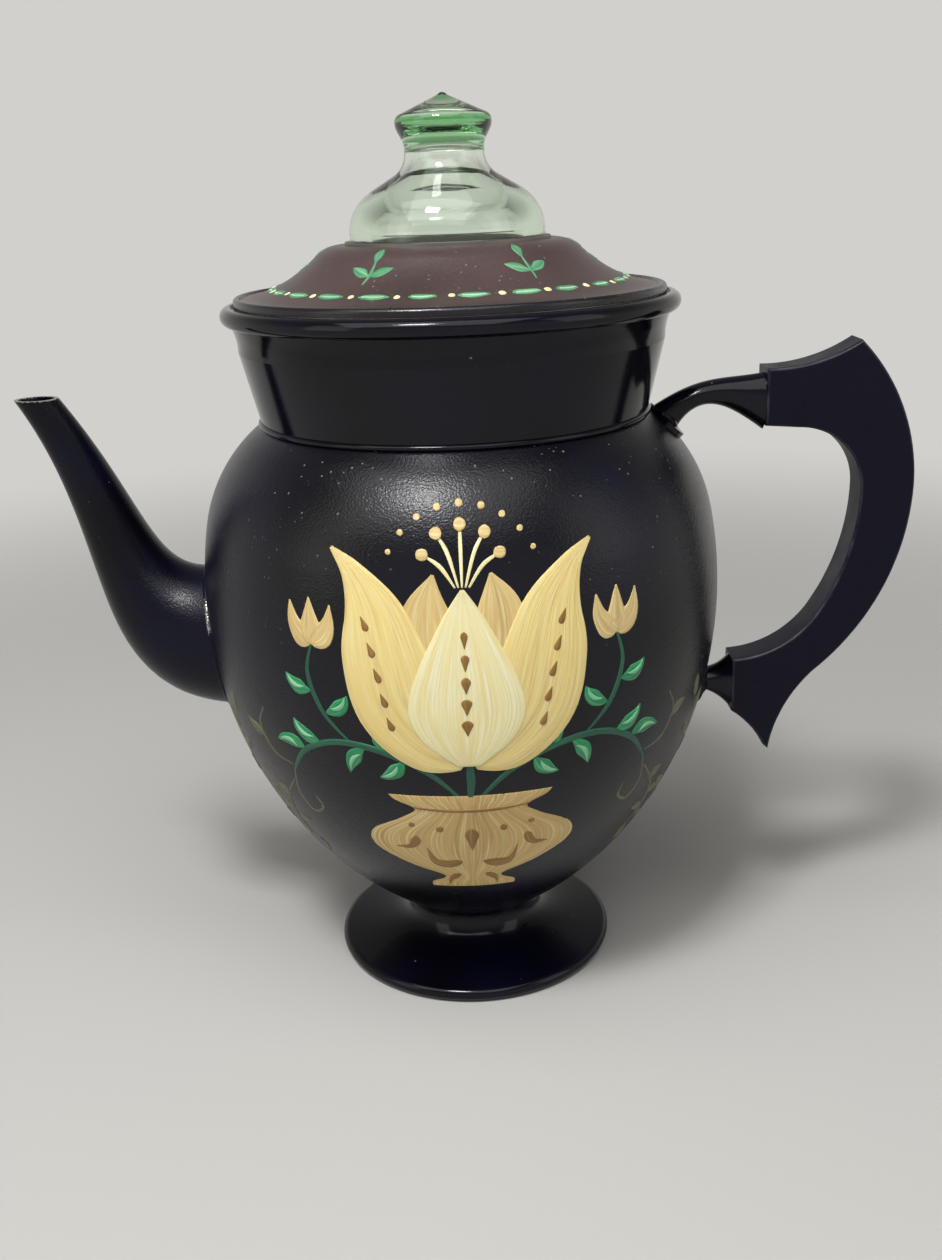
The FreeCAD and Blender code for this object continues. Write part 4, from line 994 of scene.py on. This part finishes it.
class PERCOLATOR_OT_stage(bpy.types.Operator):
    """Sets up the floor, the surroundings, the lamps and the camera"""
    bl_idname = "percolator.stage"
    bl_label = "Set the stage"

    def execute(self, context):
        settings = context.scene.percolator_stage
        self.floor(settings)
        self.surroundings(context.scene, settings)
        self.lamp("overhead_softbox", (-0.15, -0.55, 1.2), 1.5, 1.1, settings.overhead_power)
        self.lamp("key_lamp", (-0.24, -0.56, 1.13), 0.24, 0.22, settings.key_power)
        self.lamp("left_softbox", (-0.95, -0.55, 0.55), 0.5, 0.9, settings.side_power)
        self.lamp("right_softbox", (0.95, -0.45, 0.6), 0.5, 0.9, settings.side_power)
        self.camera(context.scene, settings)
        context.scene.view_settings.view_transform = "Standard"
        return {"FINISHED"}

    def floor(self, settings):
        """Pale paper floor with a faint tooth, which fades to the colour of the surroundings."""
        material, tree = new_material("Pale studio paper")
        tooth_size = 2 * MM           # drawn coarser than paper's own, so that it shows
        here = add(tree, "TexCoord", out="Object")
        tooth = add(tree, "TexNoise", {"Vector": here, "Scale": 1 / tooth_size, "Detail": 2.0})
        bump = add(tree, "Bump", {"Strength": 0.05, "Distance": 0.05 * MM, "Height": tooth})
        paper = add(tree, "BsdfPrincipled", {"Base Color": settings.floor, "Roughness": 0.8, "Normal": bump})
        far = add(tree, "VectorMath", {0: here}, "Value", operation="LENGTH")
        near_edge, far_edge = FLOOR_FADE
        fade = add(tree, "MapRange", {VALUE: far, FROM_LOW: near_edge, FROM_HIGH: far_edge},
                   interpolation_type="SMOOTHSTEP")
        fade = add(tree, "Math", {0: fade, 1: self.seen(tree)}, operation="MULTIPLY")
        distance = add(tree, "Emission", {"Color": settings.backdrop})
        show(tree, add(tree, "MixShader", {0: fade, 1: paper, 2: distance}))
        corners = [(x * FLOOR_HALF, y * FLOOR_HALF, 0) for x, y in ((-1, -1), (1, -1), (1, 1), (-1, 1))]
        mesh = bpy.data.meshes.new("floor")
        mesh.from_pydata(corners, [], [(0, 1, 2, 3)])
        mesh.materials.append(material)
        floor = bpy.data.objects.new("floor", mesh)
        floor.location.z = -FLOOR_GAP
        bpy.context.scene.collection.objects.link(floor)

    def seen(self, tree):
        """1 where the camera looks, straight or by way of a reflection or glass, and 0 for light."""
        ray = add(tree, "LightPath", out=None).outputs
        seen = ray["Is Camera Ray"]
        for other in ("Is Glossy Ray", "Is Transmission Ray"):
            seen = add(tree, "Math", {0: seen, 1: ray[other]}, operation="MAXIMUM")
        return seen

    def surroundings(self, scene, settings):
        """Pale surroundings, dimmer overhead, that light the object softly."""
        world = bpy.data.worlds.new("studio")
        world.use_nodes = True
        tree = world.node_tree
        tree.nodes.clear()
        toward = add(tree, "TexCoord", out="Generated")
        height = add(tree, "SeparateXYZ", {0: toward}, "Z")
        dimmer = add(tree, "MapRange", {
            VALUE: height, FROM_LOW: 0.12, FROM_HIGH: 0.6, TO_LOW: 1.0, TO_HIGH: OVERHEAD_SHARE})
        strength = add(tree, "MapRange", {VALUE: self.seen(tree), TO_LOW: WORLD_LIGHT, TO_HIGH: dimmer})
        light = add(tree, "Background", {"Color": settings.backdrop, "Strength": strength})
        add(tree, "OutputWorld", {"Surface": light}, None)
        scene.world = world

    def lamp(self, name, place, width, height, power):
        """Softbox of a width and height in metres, aimed at the middle of the pot."""
        data = bpy.data.lights.new(name, "AREA")
        data.shape = "RECTANGLE"
        data.size, data.size_y = width, height
        data.energy = power
        lamp = bpy.data.objects.new(name, data)
        lamp.location = place
        lamp.rotation_euler = (Vector(LAMP_TARGET) - Vector(place)).to_track_quat("-Z", "Y").to_euler()
        bpy.context.scene.collection.objects.link(lamp)

    def camera(self, scene, settings):
        """Camera in front of the pot, looking down on it and held slightly askew."""
        data = bpy.data.cameras.new("camera")
        data.sensor_width = SENSOR
        data.lens = settings.lens
        data.clip_start = CAMERA_NEAR
        camera = bpy.data.objects.new("camera", data)
        pan = Matrix.Rotation(-math.radians(CAMERA_PAN), 3, "Z")
        pitch = Matrix.Rotation(math.pi / 2 - math.radians(CAMERA_PITCH), 3, "X")
        roll = Matrix.Rotation(math.radians(CAMERA_ROLL), 3, "Z")
        camera.matrix_world = Matrix.Translation(CAMERA_PLACE) @ (pan @ pitch @ roll).to_4x4()
        scene.collection.objects.link(camera)
        scene.camera = camera


class PERCOLATOR_PT_finish(bpy.types.Panel):
    """Sizes, colours and steps of the finish"""
    bl_idname = "PERCOLATOR_PT_finish"
    bl_label = "Percolator finish"
    bl_space_type = "VIEW_3D"
    bl_region_type = "UI"
    bl_category = "Percolator"

    def draw(self, context):
        for operator in OPERATORS:
            self.layout.operator(operator.bl_idname)
        for name, group in SETTINGS.items():
            box = self.layout.box()
            for field in group.__annotations__:
                box.prop(getattr(context.scene, name), field)


OPERATORS = (
    PERCOLATOR_OT_stage,
    PERCOLATOR_OT_enamel,
    PERCOLATOR_OT_grip,
    PERCOLATOR_OT_glass,
    PERCOLATOR_OT_inside,
    PERCOLATOR_OT_solder,
    PERCOLATOR_OT_paint_urn,
    PERCOLATOR_OT_paint_flower,
    PERCOLATOR_OT_paint_vines,
    PERCOLATOR_OT_paint_lid,
)
SETTINGS = {
    "percolator_enamel": EnamelSettings,
    "percolator_glass": GlassSettings,
    "percolator_painting": PaintingSettings,
    "percolator_stage": StageSettings,
}


def register():
    for group in SETTINGS.values():
        bpy.utils.register_class(group)
    for name, group in SETTINGS.items():
        setattr(bpy.types.Scene, name, PointerProperty(type=group))
    for operator in OPERATORS:
        bpy.utils.register_class(operator)
    bpy.utils.register_class(PERCOLATOR_PT_finish)


def unregister():
    bpy.utils.unregister_class(PERCOLATOR_PT_finish)
    for operator in reversed(OPERATORS):
        bpy.utils.unregister_class(operator)
    for name, group in reversed(SETTINGS.items()):
        delattr(bpy.types.Scene, name)
        bpy.utils.unregister_class(group)


def main():
    register()
    for operator in OPERATORS:
        group, step = operator.bl_idname.split(".")
        getattr(getattr(bpy.ops, group), step)()
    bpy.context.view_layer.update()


if __name__ == "__main__":
    main()
